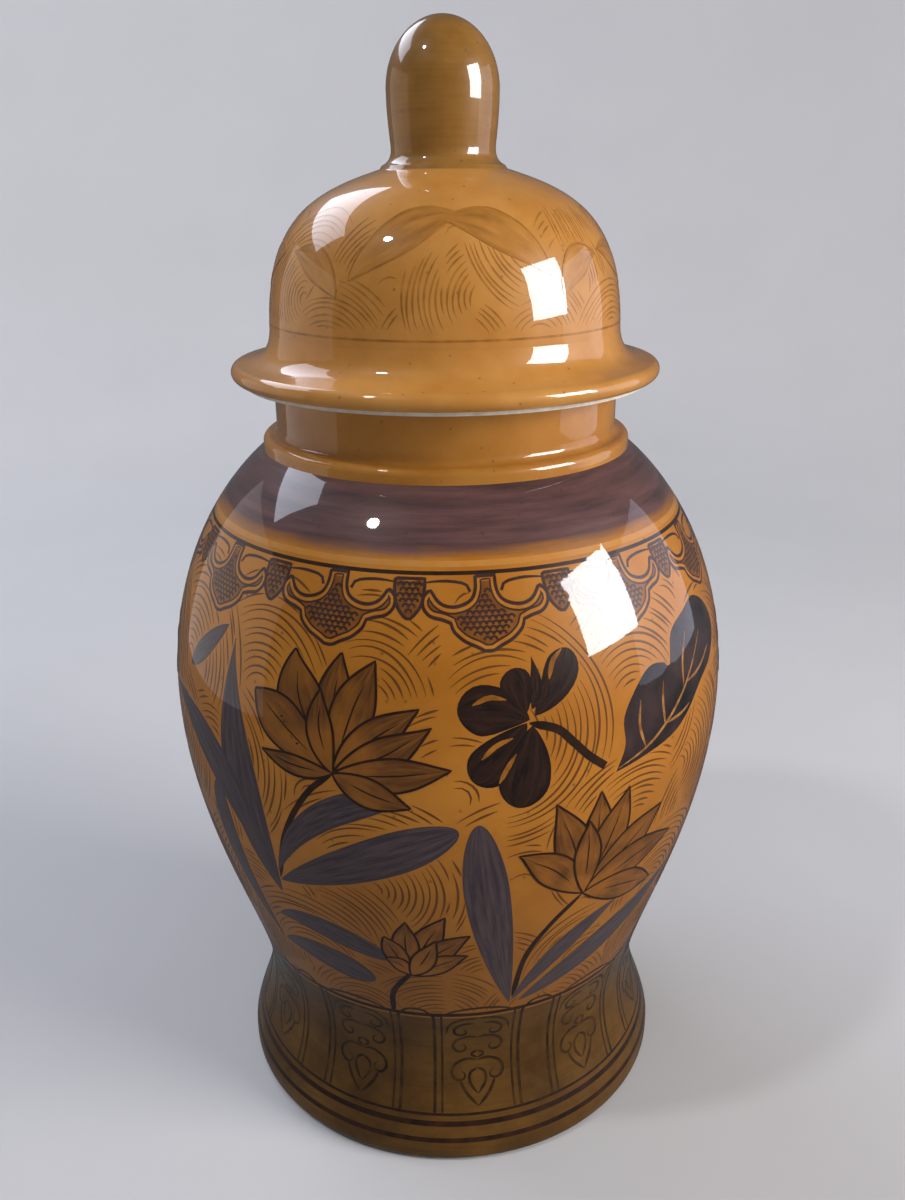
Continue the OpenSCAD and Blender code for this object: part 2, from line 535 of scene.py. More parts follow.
# Steps between the points of a line, the rows of a leaf and the points inside an area
STROKE_STEP = 2.0
LEAF_STEP = 1.3
AREA_STEP = 3.0

# A line's tip, as a share of its full width, the power of the easing from there, and a line's depth
# as a share of its half width
TIP_SHARE = 0.06
TIP_POWER = 0.6
RIBBON_DEPTH = 0.9

# Leaf shapes: least rows, least share of the full width, the power of the widening from the base, and
# for each kind of tip the place where it is widest and the power of the narrowing
LEAF_ROWS = 12
LEAF_END = 0.02
BASE_POWER = 0.8
POINTED = (0.5, 1.15)
BLUNT = (0.68, 0.5)


def spaced(line, step):
    """Points an even step apart along a line of points."""
    run = np.concatenate([[0], np.cumsum(np.linalg.norm(np.diff(line, axis=0), axis=1))])
    count = max(2, int(round(run[-1] / step)) + 1)
    at = np.linspace(0, run[-1], count)
    return np.stack([np.interp(at, run, line[:, 0]), np.interp(at, run, line[:, 1])], axis=1)


def flowing(points, step=STROKE_STEP):
    """A smooth line through a few points, a Catmull-Rom spline, as evenly spaced points."""
    p = np.array(points, dtype=float)
    if len(p) < 3:
        return spaced(p, step)
    ends = np.concatenate([[2 * p[0] - p[1]], p, [2 * p[-1] - p[-2]]])
    t = np.linspace(0, 1, 13)[:-1, None]
    runs = []
    for a, b, c, d in zip(ends, ends[1:], ends[2:], ends[3:]):
        bend = t**2 * (a - 2.5 * b + 2 * c - 0.5 * d)
        twist = t**3 * (1.5 * b - 1.5 * c + 0.5 * d - 0.5 * a)
        runs.append(b + 0.5 * t * (c - a) + bend + twist)
    return spaced(np.concatenate(runs + [p[-1:]]), step)


def closed_line(outline, step=STROKE_STEP):
    """An outline as one even line that ends where it starts."""
    return spaced(np.concatenate([outline, outline[:1]]), step)


def inside(points, outline):
    """Which points lie inside a closed outline."""
    x, y = points[:, 0], points[:, 1]
    hit = np.zeros(len(points), dtype=bool)
    for (x0, y0), (x1, y1) in zip(outline, np.roll(outline, -1, axis=0)):
        if y0 != y1:
            crosses = (y0 > y) != (y1 > y)
            hit ^= crosses & (x < (x1 - x0) * (y - y0) / (y1 - y0) + x0)
    return hit


def clearance(points, outline):
    """Distance of each point to the nearest place on an outline, less than 0 outside it."""
    gap = np.linalg.norm(points[:, None] - outline[None], axis=2).min(axis=1)
    return np.where(inside(points, outline), gap, -gap)


class Strokes:
    """Brush lines of one colour on one wall."""

    def __init__(self, wall):
        self.wall = wall
        self.places = []
        self.normals = []
        self.halves = []
        self.edges = []

    def add(self, line, width, layer=0, taper=(0.25, 0.35), closed=False):
        """One line of flat places, its width, its layer and the share of it that tapers at each end."""
        line = line[:-1] if closed else line
        count = len(line)
        share = np.linspace(0, 1, count)
        ease = np.ones(count)
        if taper[0]:
            ease = np.minimum(ease, share / taper[0])
        if taper[1]:
            ease = np.minimum(ease, (1 - share) / taper[1])
        first = len(self.halves)
        self.places.extend(self.wall.place(line, LIFT + LAYER * layer))
        self.normals.extend(self.wall.normal(line))
        self.halves.extend(0.5 * width * np.clip(ease, TIP_SHARE, 1) ** TIP_POWER)
        self.edges += [(first + i, first + i + 1) for i in range(count - 1)]
        if closed:
            self.edges.append((first + count - 1, first))

    def loop(self, line, width, layer):
        """A closed line of even width."""
        self.add(line, width, layer, (0, 0), True)

    def ring(self, height, width, layer=0):
        """A line all the way round at one height, with a point every 2 degrees."""
        turns = np.arange(0, 361, 2.0)
        self.loop(self.wall.flat(np.stack([turns, np.full(len(turns), height)], axis=1)), width, layer)

    def piece(self, name, material, body="jar", slot="belly_glaze"):
        """The lines as one piece of closed ribbons."""
        mesh = bpy.data.meshes.new(name)
        mesh.from_pydata([tuple(p) for p in self.places], self.edges, [])
        facing = mesh.attributes.new("wall_normal", "FLOAT_VECTOR", "POINT")
        facing.data.foreach_set("vector", np.array(self.normals, dtype=np.float32).ravel())
        half = mesh.attributes.new("half_width", "FLOAT", "POINT")
        half.data.foreach_set("value", np.array(self.halves, dtype=np.float32) * MM)
        shape = grown(mesh, ribbon_tree(), Depth=RIBBON_DEPTH, Paint=material)
        finish_piece(name, shape, body, slot)


class Washes:
    """Filled brush marks of one colour on one wall, each a thin closed slab that follows the wall."""

    def __init__(self, wall):
        self.wall = wall
        self.places = []
        self.faces = []
        self.uvs = []

    def slab(self, flat, faces, uvs, layer):
        """A slab over flat faces, with its back sunk in the wall and a rim round its edge."""
        first = len(self.places)
        count = len(flat)
        self.places.extend(self.wall.place(flat, LIFT + LAYER * layer))
        self.places.extend(self.wall.place(flat, -SUNK))
        self.uvs.extend(list(uvs) * 2)
        rim = {}
        for face in faces:
            self.faces.append([first + i for i in face])
            self.faces.append([first + count + i for i in reversed(face)])
            for a, b in zip(face, face[1:] + face[:1]):
                if (b, a) in rim:
                    del rim[b, a]
                else:
                    rim[a, b] = True
        for a, b in rim:
            self.faces.append([first + b, first + a, first + count + a, first + count + b])

    def leaf(self, base, mid, tip, width, blunt=False, layer=1, across=7):
        """A long mark from base through mid to tip, all flat places. Returns its outline.

        Its rows lie closer near the ends. A blunt mark is widest nearer its tip, which is round.
        Its UV runs from 0 to 1 across, and along by the length in double widths.
        """
        widest, tip_power = BLUNT if blunt else POINTED
        length = np.linalg.norm(mid - base) + np.linalg.norm(tip - mid)
        count = max(LEAF_ROWS, int(length / LEAF_STEP))
        t = 0.5 - 0.5 * np.cos(np.linspace(0, math.pi, count))[:, None]
        along = t[:, 0] * length / width / 2
        control = 2 * mid - (base + tip) / 2
        line = (1 - t) ** 2 * base + 2 * t * (1 - t) * control + t**2 * tip
        way = np.gradient(line, axis=0)
        side = np.stack([-way[:, 1], way[:, 0]], axis=1)
        side /= np.linalg.norm(side, axis=1)[:, None]
        rise = np.sin(math.pi / 2 * np.minimum(t / widest, 1)) ** BASE_POWER
        fall = np.cos(math.pi / 2 * np.maximum((t - widest) / (1 - widest), 0))
        swell = rise * np.maximum(fall, 0) ** tip_power
        half = 0.5 * width * np.maximum(swell, LEAF_END)
        steps = np.linspace(-1, 1, across)
        rows = line[:, None, :] + side[:, None, :] * half[:, None] * steps[None, :, None]
        uvs = [(j / (across - 1), far) for far in along for j in range(across)]
        corners = [i * across + j for i in range(count - 1) for j in range(across - 1)]
        faces = [[a, a + across, a + across + 1, a + 1] for a in corners]
        self.slab(rows.reshape(-1, 2), faces, uvs, layer)
        return np.concatenate([rows[:, 0], rows[::-1, -1]])

    def area(self, outline):
        """A mark with a free outline, which it returns. Its UV counts from its middle, by its size."""
        low_x, low_y = outline.min(axis=0)
        high_x, high_y = outline.max(axis=0)
        columns, rows = np.arange(low_x, high_x, AREA_STEP), np.arange(low_y, high_y, AREA_STEP)
        grid = np.stack(np.meshgrid(columns, rows), axis=-1).reshape(-1, 2)
        grid = grid[clearance(grid, outline) > 0.45 * AREA_STEP]
        count = len(outline)
        ring = [(i, (i + 1) % count) for i in range(count)]
        points = [Vector(p) for p in np.concatenate([outline, grid])]
        flat, _, faces, _, _, _ = delaunay_2d_cdt(points, ring, [], 1, 0.001)
        flat = np.array([tuple(p) for p in flat])
        size = max(high_x - low_x, high_y - low_y)
        uvs = [tuple(p) for p in (flat - outline.mean(axis=0)) / size]
        self.slab(flat, [list(f) for f in faces], uvs, 1)
        return outline

    def piece(self, name, material, body="jar", slot="belly_glaze"):
        """The marks as one piece."""
        mesh = bpy.data.meshes.new(name)
        mesh.from_pydata([tuple(p) for p in self.places], [], self.faces)
        corners = np.empty(len(mesh.loops), dtype=int)
        mesh.loops.foreach_get("vertex_index", corners)
        layer = mesh.uv_layers.new(name="brush")
        layer.data.foreach_set("uv", np.array(self.uvs, dtype=np.float32)[corners].ravel())
        mesh.materials.append(material)
        work = bmesh.new()
        work.from_mesh(mesh)
        bmesh.ops.recalc_face_normals(work, faces=work.faces)
        work.to_mesh(mesh)
        work.free()
        finish_piece(name, mesh, body, slot)


# Materials: each pattern's scale is worked out from a size in millimetres


def new_material(name):
    """A new material, its empty tree, and the place on the piece in metres (Object coordinates)."""
    material = bpy.data.materials.new(name)
    material.use_nodes = True
    tree = material.node_tree
    tree.nodes.clear()
    return material, tree, add_node(tree, "ShaderNodeTexCoord").outputs["Object"]


def surfaced(material, **settings):
    """Ends a material's tree with its surface and output."""
    surface = add_node(material.node_tree, "ShaderNodeBsdfPrincipled", **settings)
    add_node(material.node_tree, "ShaderNodeOutputMaterial", Surface=surface)
    return material


def glazed(material, place, colour):
    """Ends a material as a colour under fired glaze: a clear glassy coat that rolls faintly."""
    tree = material.node_tree
    roll = add_node(tree, "ShaderNodeTexNoise", Vector=place, Scale=per_mm(9), Detail=1.0)
    bump = add_node(tree, "ShaderNodeBump", Strength=0.35, Distance=0.06 * MM, Height=roll)
    return surfaced(
        material, Base_Color=colour, Roughness=0.4, Specular_IOR_Level=0.12, Coat_Weight=1.0,
        Coat_Roughness=0.03, Coat_IOR=1.42, Normal=bump, Coat_Normal=bump,
    )


def per_mm(size):
    """Texture scale that gives marks of a size in mm on Object coordinates, which are metres."""
    return 1 / (size * MM)


def layered(tree, ground, *coats):
    """A ground colour with coats laid over it, each given as its share from 0 to 1 and its colour."""
    for share, coat in coats:
        ground = add_node(tree, "ShaderNodeMix", data_type="RGBA", Factor=share, A=ground, B=coat)
    return ground


def mottle(tree, place, size, deep, light):
    """Two colours clouded into each other, with clouds of a size in mm.

    Noise seldom leaves the range from 0.32 to 0.68, so that range is spread over both colours.
    """
    cloud = add_node(tree, "ShaderNodeTexNoise", Vector=place, Scale=per_mm(size), Detail=4.0, Roughness=0.6)
    share = add_node(tree, "ShaderNodeMapRange", Value=cloud, From_Min=0.32, From_Max=0.68)
    return layered(tree, deep, (share, light))


def specks(tree, place, size, amount):
    """Share of small round iron specks of a size in mm, one about every 6 sizes."""
    cells = add_node(tree, "ShaderNodeTexVoronoi", Vector=place, Scale=per_mm(size * 6), Randomness=1.0)
    return add_node(tree, "ShaderNodeMapRange", Value=cells, From_Min=0.05, From_Max=0.11,
                    To_Min=amount, To_Max=0.0)


# Heights between which the shoulder wash thins out, how far its streaks make that edge wander, and
# heights between which the amber glaze is painted darker towards the foot, as painted shade
WASH_EDGE = (231.6, 235.4)
WASH_WANDER = 6
LOW_SHADE = (165, 65)


def amber_glaze(colours):
    """Stoneware dipped in amber glaze over a brushed iron wash.

    The eye gets a warm clouded ground, darker towards the foot as painted shade, and on the shoulder
    a purple brown wash in level brush streaks, each about 38 mm long and 3 mm high, with a ragged lower
    edge.
    """
    material, tree, place = new_material("amber_glazed_stoneware")
    height = add_node(tree, "ShaderNodeSeparateXYZ", Vector=place).outputs["Z"]
    clouds = mottle(tree, place, 38, colours.amber_deep, colours.amber)
    fine = add_node(tree, "ShaderNodeTexNoise", Vector=place, Scale=per_mm(3), Detail=3.0)
    grain = add_node(tree, "ShaderNodeMapRange", Value=fine, From_Min=0.55, From_Max=0.8, To_Max=0.35)
    # Painted shade: the ground is darkened towards the foot, where the lower belly faces down
    sink = add_node(tree, "ShaderNodeMapRange", Value=height, From_Min=LOW_SHADE[0] * MM,
                    From_Max=LOW_SHADE[1] * MM, To_Max=0.62)
    stretch = add_node(tree, "ShaderNodeMapping", Vector=place, Scale=(1, 1, 14))
    streak = add_node(tree, "ShaderNodeTexNoise", Vector=stretch, Scale=per_mm(38), Detail=5.0,
                      Roughness=0.65)
    thin = add_node(tree, "ShaderNodeMapRange", Value=streak, From_Min=0.3, From_Max=0.7)
    wash = layered(tree, colours.wash, (thin, colours.wash_thin))
    ragged = add_node(tree, "ShaderNodeMath", streak, WASH_WANDER * MM, height, operation="MULTIPLY_ADD")
    edge = add_node(tree, "ShaderNodeMapRange", Value=ragged, From_Min=WASH_EDGE[0] * MM,
                    From_Max=WASH_EDGE[1] * MM)
    spots = specks(tree, place, 1.1, 0.5)
    colour = layered(tree, clouds, (grain, colours.amber_deep), (sink, colours.amber_low), (edge, wash),
                     (spots, colours.wash))
    return glazed(material, place, colour)


def honey_glaze(colours, name, deep, light):
    """Stoneware dipped in honey glaze, poured off so that it clouds and thins a little.

    The eye gets an even warm tan with soft clouds and a few iron specks under a glassy coat.
    """
    material, tree, place = new_material(name)
    clouds = mottle(tree, place, 24, deep, light)
    return glazed(material, place, layered(tree, clouds, (specks(tree, place, 0.9, 0.45), colours.wash)))


def olive_glaze(colours, name, deep, light):
    """A darker, greener dip of the same glaze.

    The eye gets an olive brown that clouds slowly and shows throwing lines about 1 mm apart.
    """
    material, tree, place = new_material(name)
    clouds = mottle(tree, place, 22, deep, light)
    stretch = add_node(tree, "ShaderNodeMapping", Vector=place, Scale=(1, 1, 16))
    streak = add_node(tree, "ShaderNodeTexNoise", Vector=stretch, Scale=per_mm(20), Detail=3.0)
    thrown = add_node(tree, "ShaderNodeMapRange", Value=streak, From_Min=0.45, From_Max=0.75, To_Max=0.4)
    spots = specks(tree, place, 0.8, 0.5)
    return glazed(material, place, layered(tree, clouds, (thrown, deep), (spots, colours.wash)))


def bare_stoneware(colours):
    """Fired stoneware left bare where piece rests on piece, wiped clean of glaze.

    The eye gets a dry, pale, slightly sandy ring with no shine. The grit is drawn at 0.8 mm, coarser
    than sand, so that it shows.
    """
    material, tree, place = new_material("bare_stoneware")
    colour = mottle(tree, place, 3, colours.clay_deep, colours.clay)
    grit = add_node(tree, "ShaderNodeTexNoise", Vector=place, Scale=per_mm(0.8), Detail=2.0)
    bump = add_node(tree, "ShaderNodeBump", Strength=0.5, Distance=0.1 * MM, Height=grit)
    return surfaced(material, Base_Color=colour, Roughness=0.85, Normal=bump)


def brushed_slip(name, dark, light, grain=(9, 1.6), edge=0.5, ground=None):
    """Iron or cobalt slip laid with a loaded brush under the glaze.

    The eye gets streaks along the stroke and a darker edge where the slip pooled. The streaks are
    drawn about twice as coarse as brush hairs leave them, so that they show: grain is how many go
    across the mark and along each double width. With a ground colour the slip is thin: the ground
    shows through in 13 mm clouds, most of all where the stroke began.
    """
    material, tree, place = new_material(name)
    brush = add_node(tree, "ShaderNodeUVMap", uv_map="brush")
    split = add_node(tree, "ShaderNodeSeparateXYZ", Vector=brush)
    stretch = add_node(tree, "ShaderNodeMapping", Vector=brush, Scale=(*grain, 1))
    streak = add_node(tree, "ShaderNodeTexNoise", Vector=stretch, Scale=1.0, Detail=4.0, Roughness=0.6)
    share = add_node(tree, "ShaderNodeMapRange", Value=streak, From_Min=0.34, From_Max=0.66)
    colour = layered(tree, dark, (share, light))
    if ground:
        cloud = add_node(tree, "ShaderNodeTexNoise", Vector=place, Scale=per_mm(13), Detail=2.0)
        far = add_node(tree, "ShaderNodeMath", split.outputs["Y"], -0.22, cloud, operation="MULTIPLY_ADD")
        thin = add_node(tree, "ShaderNodeMapRange", Value=far, From_Min=0.22, From_Max=0.52,
                        To_Min=0.05, To_Max=0.6)
        colour = layered(tree, colour, (thin, ground))
    centred = add_node(tree, "ShaderNodeMath", split.outputs["X"], 0.5, operation="SUBTRACT")
    apart = add_node(tree, "ShaderNodeMath", centred, operation="ABSOLUTE")
    pooled = add_node(tree, "ShaderNodeMapRange", Value=apart, From_Min=0.38, From_Max=0.5, To_Max=edge)
    return glazed(material, place, layered(tree, colour, (pooled, dark)))


def drawn_slip(name, dark, light):
    """Slip drawn as fine lines under the glaze, thick and thin by turns.

    The eye gets a dark line that breaks lighter every few mm.
    """
    material, tree, place = new_material(name)
    return glazed(material, place, mottle(tree, place, 6, dark, light))


def studio_paper():
    """Matt pale paper, rolled out under the jar and up behind it, with no pattern to catch the eye."""
    material, tree, place = new_material("matt_studio_paper")
    colour = mottle(tree, place, 160, hex_to_linear("#C4C4C6"), hex_to_linear("#C7C7C9"))
    return surfaced(material, Base_Color=colour, Roughness=0.9)


# Settings


def colour_setting(label, about, code):
    """A colour property with an sRGB hex default."""
    return bpy.props.FloatVectorProperty(
        name=label, description=about, subtype="COLOR", size=3, min=0, max=1, default=hex_to_linear(code)
    )


def count_setting(label, about, default, least, most):
    """A whole number property."""
    return bpy.props.IntProperty(name=label, description=about, default=default, min=least, max=most)


def length_setting(label, about, default, least):
    """A length property, its default and least value given in mm."""
    return bpy.props.FloatProperty(
        name=label, description=about, default=default * MM, min=least * MM, unit="LENGTH"
    )


class JarSizes(bpy.types.PropertyGroup):
    """Sizes a user may change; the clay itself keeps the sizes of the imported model."""

    segments: count_setting("Segments", "Steps round each turned piece", 256, 48, 360)
    lappets: count_setting("Lappets", "Cloud lappets round the shoulder", 12, 6, 18)
    panels: count_setting("Panels", "Decorated panels round the foot", 11, 6, 16)
    wave_gap: length_setting("Wave spacing", "Distance between the background wave lines", 2.25, 1.5)
    wave_width: length_setting("Wave line width", "Width of the background wave lines", 0.72, 0.2)
    fan_radius: length_setting("Wave fan radius", "Radius of the largest line of a wave fan", 33, 8)
    seed: count_setting("Seed", "Seed of the freehand wave fans", 7, 0, 1000)


class JarColours(bpy.types.PropertyGroup):
    """Colours of the glazes and slips."""

    amber: colour_setting("Amber", "Ground glaze of the belly", "#BD7B28")
    amber_deep: colour_setting("Deep amber", "Ground glaze where it runs thick", "#A8681A")
    # Low amber darkens the ground towards the foot as painted shade; some thin lines use it as a plain
    # colour too
    amber_low: colour_setting("Low amber", "Ground glaze near the foot", "#6A4216")
    wash: colour_setting("Wash", "Iron wash on the shoulder", "#43302F")
    wash_thin: colour_setting("Thin wash", "Iron wash where it is thin", "#6C4B48")
    honey: colour_setting("Honey", "Glaze of the lid", "#C98E46")
    honey_deep: colour_setting("Deep honey", "Lid glaze where it runs thick", "#B67A32")
    neck: colour_setting("Neck", "Glaze of the neck and of the inside", "#C08438")
    neck_deep: colour_setting("Deep neck", "The same glaze where it runs thick", "#AB6F26")
    foot: colour_setting("Foot olive", "Glaze of the foot", "#6A4817")
    foot_deep: colour_setting("Deep foot olive", "Foot glaze where it pools", "#4A300D")
    knob: colour_setting("Knob olive", "Glaze of the knob", "#9A6E33")
    knob_deep: colour_setting("Deep knob olive", "Knob glaze where it pools", "#7C541A")
    clay: colour_setting("Clay", "Bare fired clay", "#E4DDD0")
    clay_deep: colour_setting("Deep clay", "Shaded grain of the bare clay", "#CFC5B4")
    resist: colour_setting("Resist", "Light line left by wax", "#BC8644")
    line: colour_setting("Line", "Iron slip of drawn lines where it is thin", "#3A1E0C")
    line_deep: colour_setting("Deep line", "Iron slip of drawn lines where it is thick", "#1E1209")
    wave: colour_setting("Wave", "Thin iron slip of the wave lines", "#653B14")
    # The two blue slip colours are partly painted reflection: lightened and made bluer to stand in for pale
    # haze mirrored in the glaze
    blue: colour_setting("Blue slip", "Leaf slip where it is thick", "#3C3138")
    blue_thin: colour_setting("Thin blue slip", "Leaf slip where it is thin", "#574948")
    petal: colour_setting("Petal", "Flower slip where it is thick", "#4E2E10")
    petal_thin: colour_setting("Thin petal", "Flower slip where it is thin", "#7A4C1C")
    dark: colour_setting("Dark slip", "Blossom slip, the darkest", "#0E0A09")
    dark_thin: colour_setting("Thin dark slip", "Blossom slip where it is thin", "#3C2418")
    lappet: colour_setting("Lappet", "Wash in the lappets where it is thick", "#6B3D12")
    lappet_thin: colour_setting("Thin lappet", "Wash in the lappets where it is thin", "#8E581C")
    dome_line: colour_setting("Dome line", "Faint slip under the lid glaze", "#8F5E22")


# Turned pieces


class JAR_OT_turn_jar(bpy.types.Operator):
    """Turns the belly, neck and foot of the jar"""

    bl_idname = "jar.turn_jar"
    bl_label = "Turn the jar"

    def execute(self, context):
        colours = context.scene.jar_colours
        amber = amber_glaze(colours)
        honey = honey_glaze(colours, "amber_honey_glazed_stoneware", colours.neck_deep, colours.neck)
        olive = olive_glaze(colours, "olive_glazed_stoneware", colours.foot_deep, colours.foot)
        bare_stoneware(colours)
        turned_piece("belly", body_section(), amber, "jar", "belly_glaze", "jar_body", lining=honey)
        turned_piece("neck", neck_section(), honey, "jar", "honey_glaze", "neck_collar", BARE_RIM)
        turned_piece("foot", foot_section(), olive, "jar", "foot_glaze", "foot_base", BARE_FOOT, honey)
        return {"FINISHED"}


class JAR_OT_turn_lid(bpy.types.Operator):
    """Turns the dome, brim, flange and knob of the lid"""

    bl_idname = "jar.turn_lid"
    bl_label = "Turn the lid"

    def execute(self, context):
        colours = context.scene.jar_colours
        clay = bpy.data.materials["bare_stoneware"]
        honey = honey_glaze(colours, "honey_glazed_stoneware", colours.honey_deep, colours.honey)
        olive = olive_glaze(colours, "olive_glazed_knob", colours.knob_deep, colours.knob)
        turned_piece("lid_bowl", dome_section(), honey, "lid", "honey_glaze", "lid_dome")
        turned_piece("lid_edge", brim_section(), honey, "lid", "honey_glaze", "lid_brim", BARE_SEAT)
        turned_piece("lid_collar", flange_section(), clay, "lid", "bare_clay", "lid_flange")
        turned_piece("lid_finial", knob_section(), olive, "lid", "knob_glaze", "lid_knob")
        return {"FINISHED"}


# Painting: motifs as (degrees round the wall, height), each a few listed places

# Outlines already painted on the belly, which the waves keep off
COVERED = []

# Level lines: height, width and, for the dark ones, layer
LIGHT_RING = (228.3, 1.9)
DOME_RING = (288.6, 0.7)
DARK_RINGS = ((226.0, 1.2, 1), (62.4, 1.8, 2), (18.4, 1.0, 0), (15.2, 2.0, 0), (9.4, 1.8, 0))

# Sprays round the belly: which one, its turn in degrees, and 1 as drawn or -1 mirrored
SPRAYS = (("left", 0, 1), ("left", 74, -1), ("left", -76, 1), ("right", 0, 1), ("right", 213, -1))

# Widths of the drawn lines
OUTLINE = 0.8
PETAL_VEIN = 0.55
LEAF_VEIN = 1.1
STEM_WIDTH = 2.0
TWIG_WIDTH = 2.6
LIGHT_WIDTH = 1.6
LAPPET_OUTLINE = 1.0
LAPPET_BORDER = 0.9
LAPPET_INNER = 0.55
LAPPET_SCALE = 0.75
EYE_WIDTH = 0.9
SCROLL_WIDTH = 1.1
SCALLOP_WIDTH = 1.2
DOME_WIDTH = 0.6

# Long leaves: base, middle, tip, width in mm, blunt tip
LEAVES = {
    "left": (
        ((-37, 112), (-42, 152), (-44.5, 200), 17, False),
        ((-36, 122), (-24.5, 149), (-9, 160), 10, True),
        ((-36, 118), (-17, 135), (1.5, 150), 15.5, True),
        ((-38, 118), (-50, 156), (-72, 171), 15, False),
        ((-44, 84), (-50, 118), (-50.5, 148), 11, True),
        ((-41, 98), (-29, 101), (-13, 92), 10, True),
        ((-43, 84), (-31, 85), (-18, 79), 13, True),
        ((-47.5, 203), (-53, 195), (-60, 184), 7, True),
    ),
    "right": (
        ((14.5, 67), (8.5, 108), (5, 152), 15, True),
        ((15, 68), (26, 93), (38, 107), 9, False),
        ((17, 67), (38, 88), (59, 106), 13.5, False),
    ),
}

# Lotus flowers: base, then petals from back to front as middle, tip, width in mm
LARGE_LOTUS = (
    (-20.5, 167),
    (
        ((-20.5, 188), (-19.5, 204), 11),
        ((-17, 187), (-13, 202.5), 12),
        ((-27, 187), (-29, 203), 15),
        ((-31, 180), (-37.5, 188), 14),
        ((-13.5, 179), (-5, 189.5), 10),
        ((-12, 174), (-3, 184), 10),
        ((-10, 168.5), (0.5, 171), 10),
        ((-14, 162), (-6.5, 158), 9),
        ((-28, 167), (-35.5, 169.5), 6),
        ((-23, 180), (-23, 193), 8),
    ),
)
SMALL_LOTUS = (
    (-9, 85),
    (
        ((-5.5, 101), (-1, 115), 10),
        ((-9.5, 100), (-9, 112), 9),
        ((-12, 96), (-14, 104), 8),
        ((-3, 97), (4, 106), 9),
        ((-3, 91), (3.5, 96), 8),
        ((-11, 90), (-14.5, 93), 6),
        ((-6, 93), (-3, 104), 8),
    ),
)
RIGHT_LOTUS = (
    (27, 117),
    (
        ((28, 137), (28, 157), 12),
        ((23.5, 137), (19, 156), 12),
        ((31, 137), (34.5, 155), 12),
        ((36, 131), (44.5, 142), 12),
        ((20, 130), (12.5, 139), 11),
        ((38, 124), (51, 126), 12),
        ((38, 113), (48.5, 107), 11),
        ((26.5, 133), (26, 147), 9),
    ),
)
PETAL_SPREAD = 1.12
PETAL_STEP = 1.6
VEIN_REACH = 0.6
LOTUSES = {"left": (LARGE_LOTUS, SMALL_LOTUS), "right": (RIGHT_LOTUS,)}
STEMS = {
    "left": (((-20.5, 167), (-26, 158), (-32, 140), (-36, 119)), ((-9, 86), (-14, 74), (-15, 62))),
    "right": (((27, 117), (21, 106), (16.5, 92), (15, 70)),),
}

# Dark blossom: petals as base, middle, tip, width in mm, of which those up to STAMEN_WIDTH are pointed
# stamens, its light strokes and the twig that holds it
BLOSSOM = (
    ((14, 185), (8, 188.5), (1.5, 188), 15),
    ((13.5, 184), (8.5, 174.5), (4, 167), 14),
    ((14.5, 183), (13.5, 170), (12, 157), 16),
    ((15, 186), (19.5, 195), (22, 204), 11.5),
    ((13.5, 187), (12.2, 194), (11, 200), 10),
    ((14.5, 188), (15.5, 194), (15, 203), 4),
    ((15, 187), (17, 192), (17.5, 199), 3.5),
)
STAMEN_WIDTH = 6
BLOSSOM_LIGHTS = (
    ((4, 190.5), (7, 192.5), (10, 191.5)),
    ((5.5, 174), (8, 178), (11, 180)),
    ((8.5, 166), (10, 171), (11.5, 175)),
    ((18, 196), (19, 201), (21, 204)),
)
TWIG = ((14, 184), (19, 181), (22, 176), (25, 170.5), (28.5, 165.5))

# Lobed leaf and its light veins
LOBED_LEAF = (
    (31, 162), (33, 170), (32.8, 179), (36, 187), (40, 192), (44, 191.5), (46, 189.5), (48, 199),
    (54, 203), (60, 205), (66, 199), (68, 190), (63.5, 182), (57, 177.5), (51, 170.5), (46, 166.5),
    (38, 164),
)
LOBED_VEINS = (
    ((31.5, 163), (40, 168), (49, 178), (59, 194)),
    ((38, 167), (36.5, 175), (37, 183)),
    ((43.5, 171), (43, 179), (43.5, 186)),
    ((50, 180), (50.5, 189), (53, 197)),
    ((44, 171.5), (49, 172), (52, 173.5)),
    ((51, 181), (57, 182.5), (63, 187)),
)

# Right half of a cloud lappet as its arm, hook and lobe, the eye beside it and the pendant between
LAPPET_MIDDLE = 7.5
LAPPET_HALF = (
    ((2.0, 225.2), (2.0, 222.2), (2.8, 219.4), (4.6, 217.9), (6.9, 217.4), (9.2, 218.6), (10.9, 221.9)),
    ((10.9, 221.9), (12.2, 220), (12.2, 217.2), (10.8, 214.9), (8.6, 214.1), (6.9, 213.2)),
    ((6.9, 213.2), (6.4, 211), (4.4, 208.3), (2.2, 206.7), (0, 204.8)),
)
LAPPET_EYE = ((3.1, 221.2), (4.0, 223.2), (7.4, 224.0), (11, 223.8), (13.6, 223.0))
PENDANT_HALF = ((3.0, 224.6), (2.9, 221), (2.2, 217.2), (0, 213.4))
LAPPET_STEP = 1.2

# Insets of a lappet's light border and of the thin line inside it, and how far the scales keep from
# the edge of a pendant
BORDER_INSET = 1.0
INNER_INSET = 1.75
PENDANT_MARGIN = 0.6

# Scales in a lappet: their gap, and the rise of each row and their radius in gaps
SCALE_GAP = 2.1
SCALE_RISE = 0.66
SCALE_R = 0.52

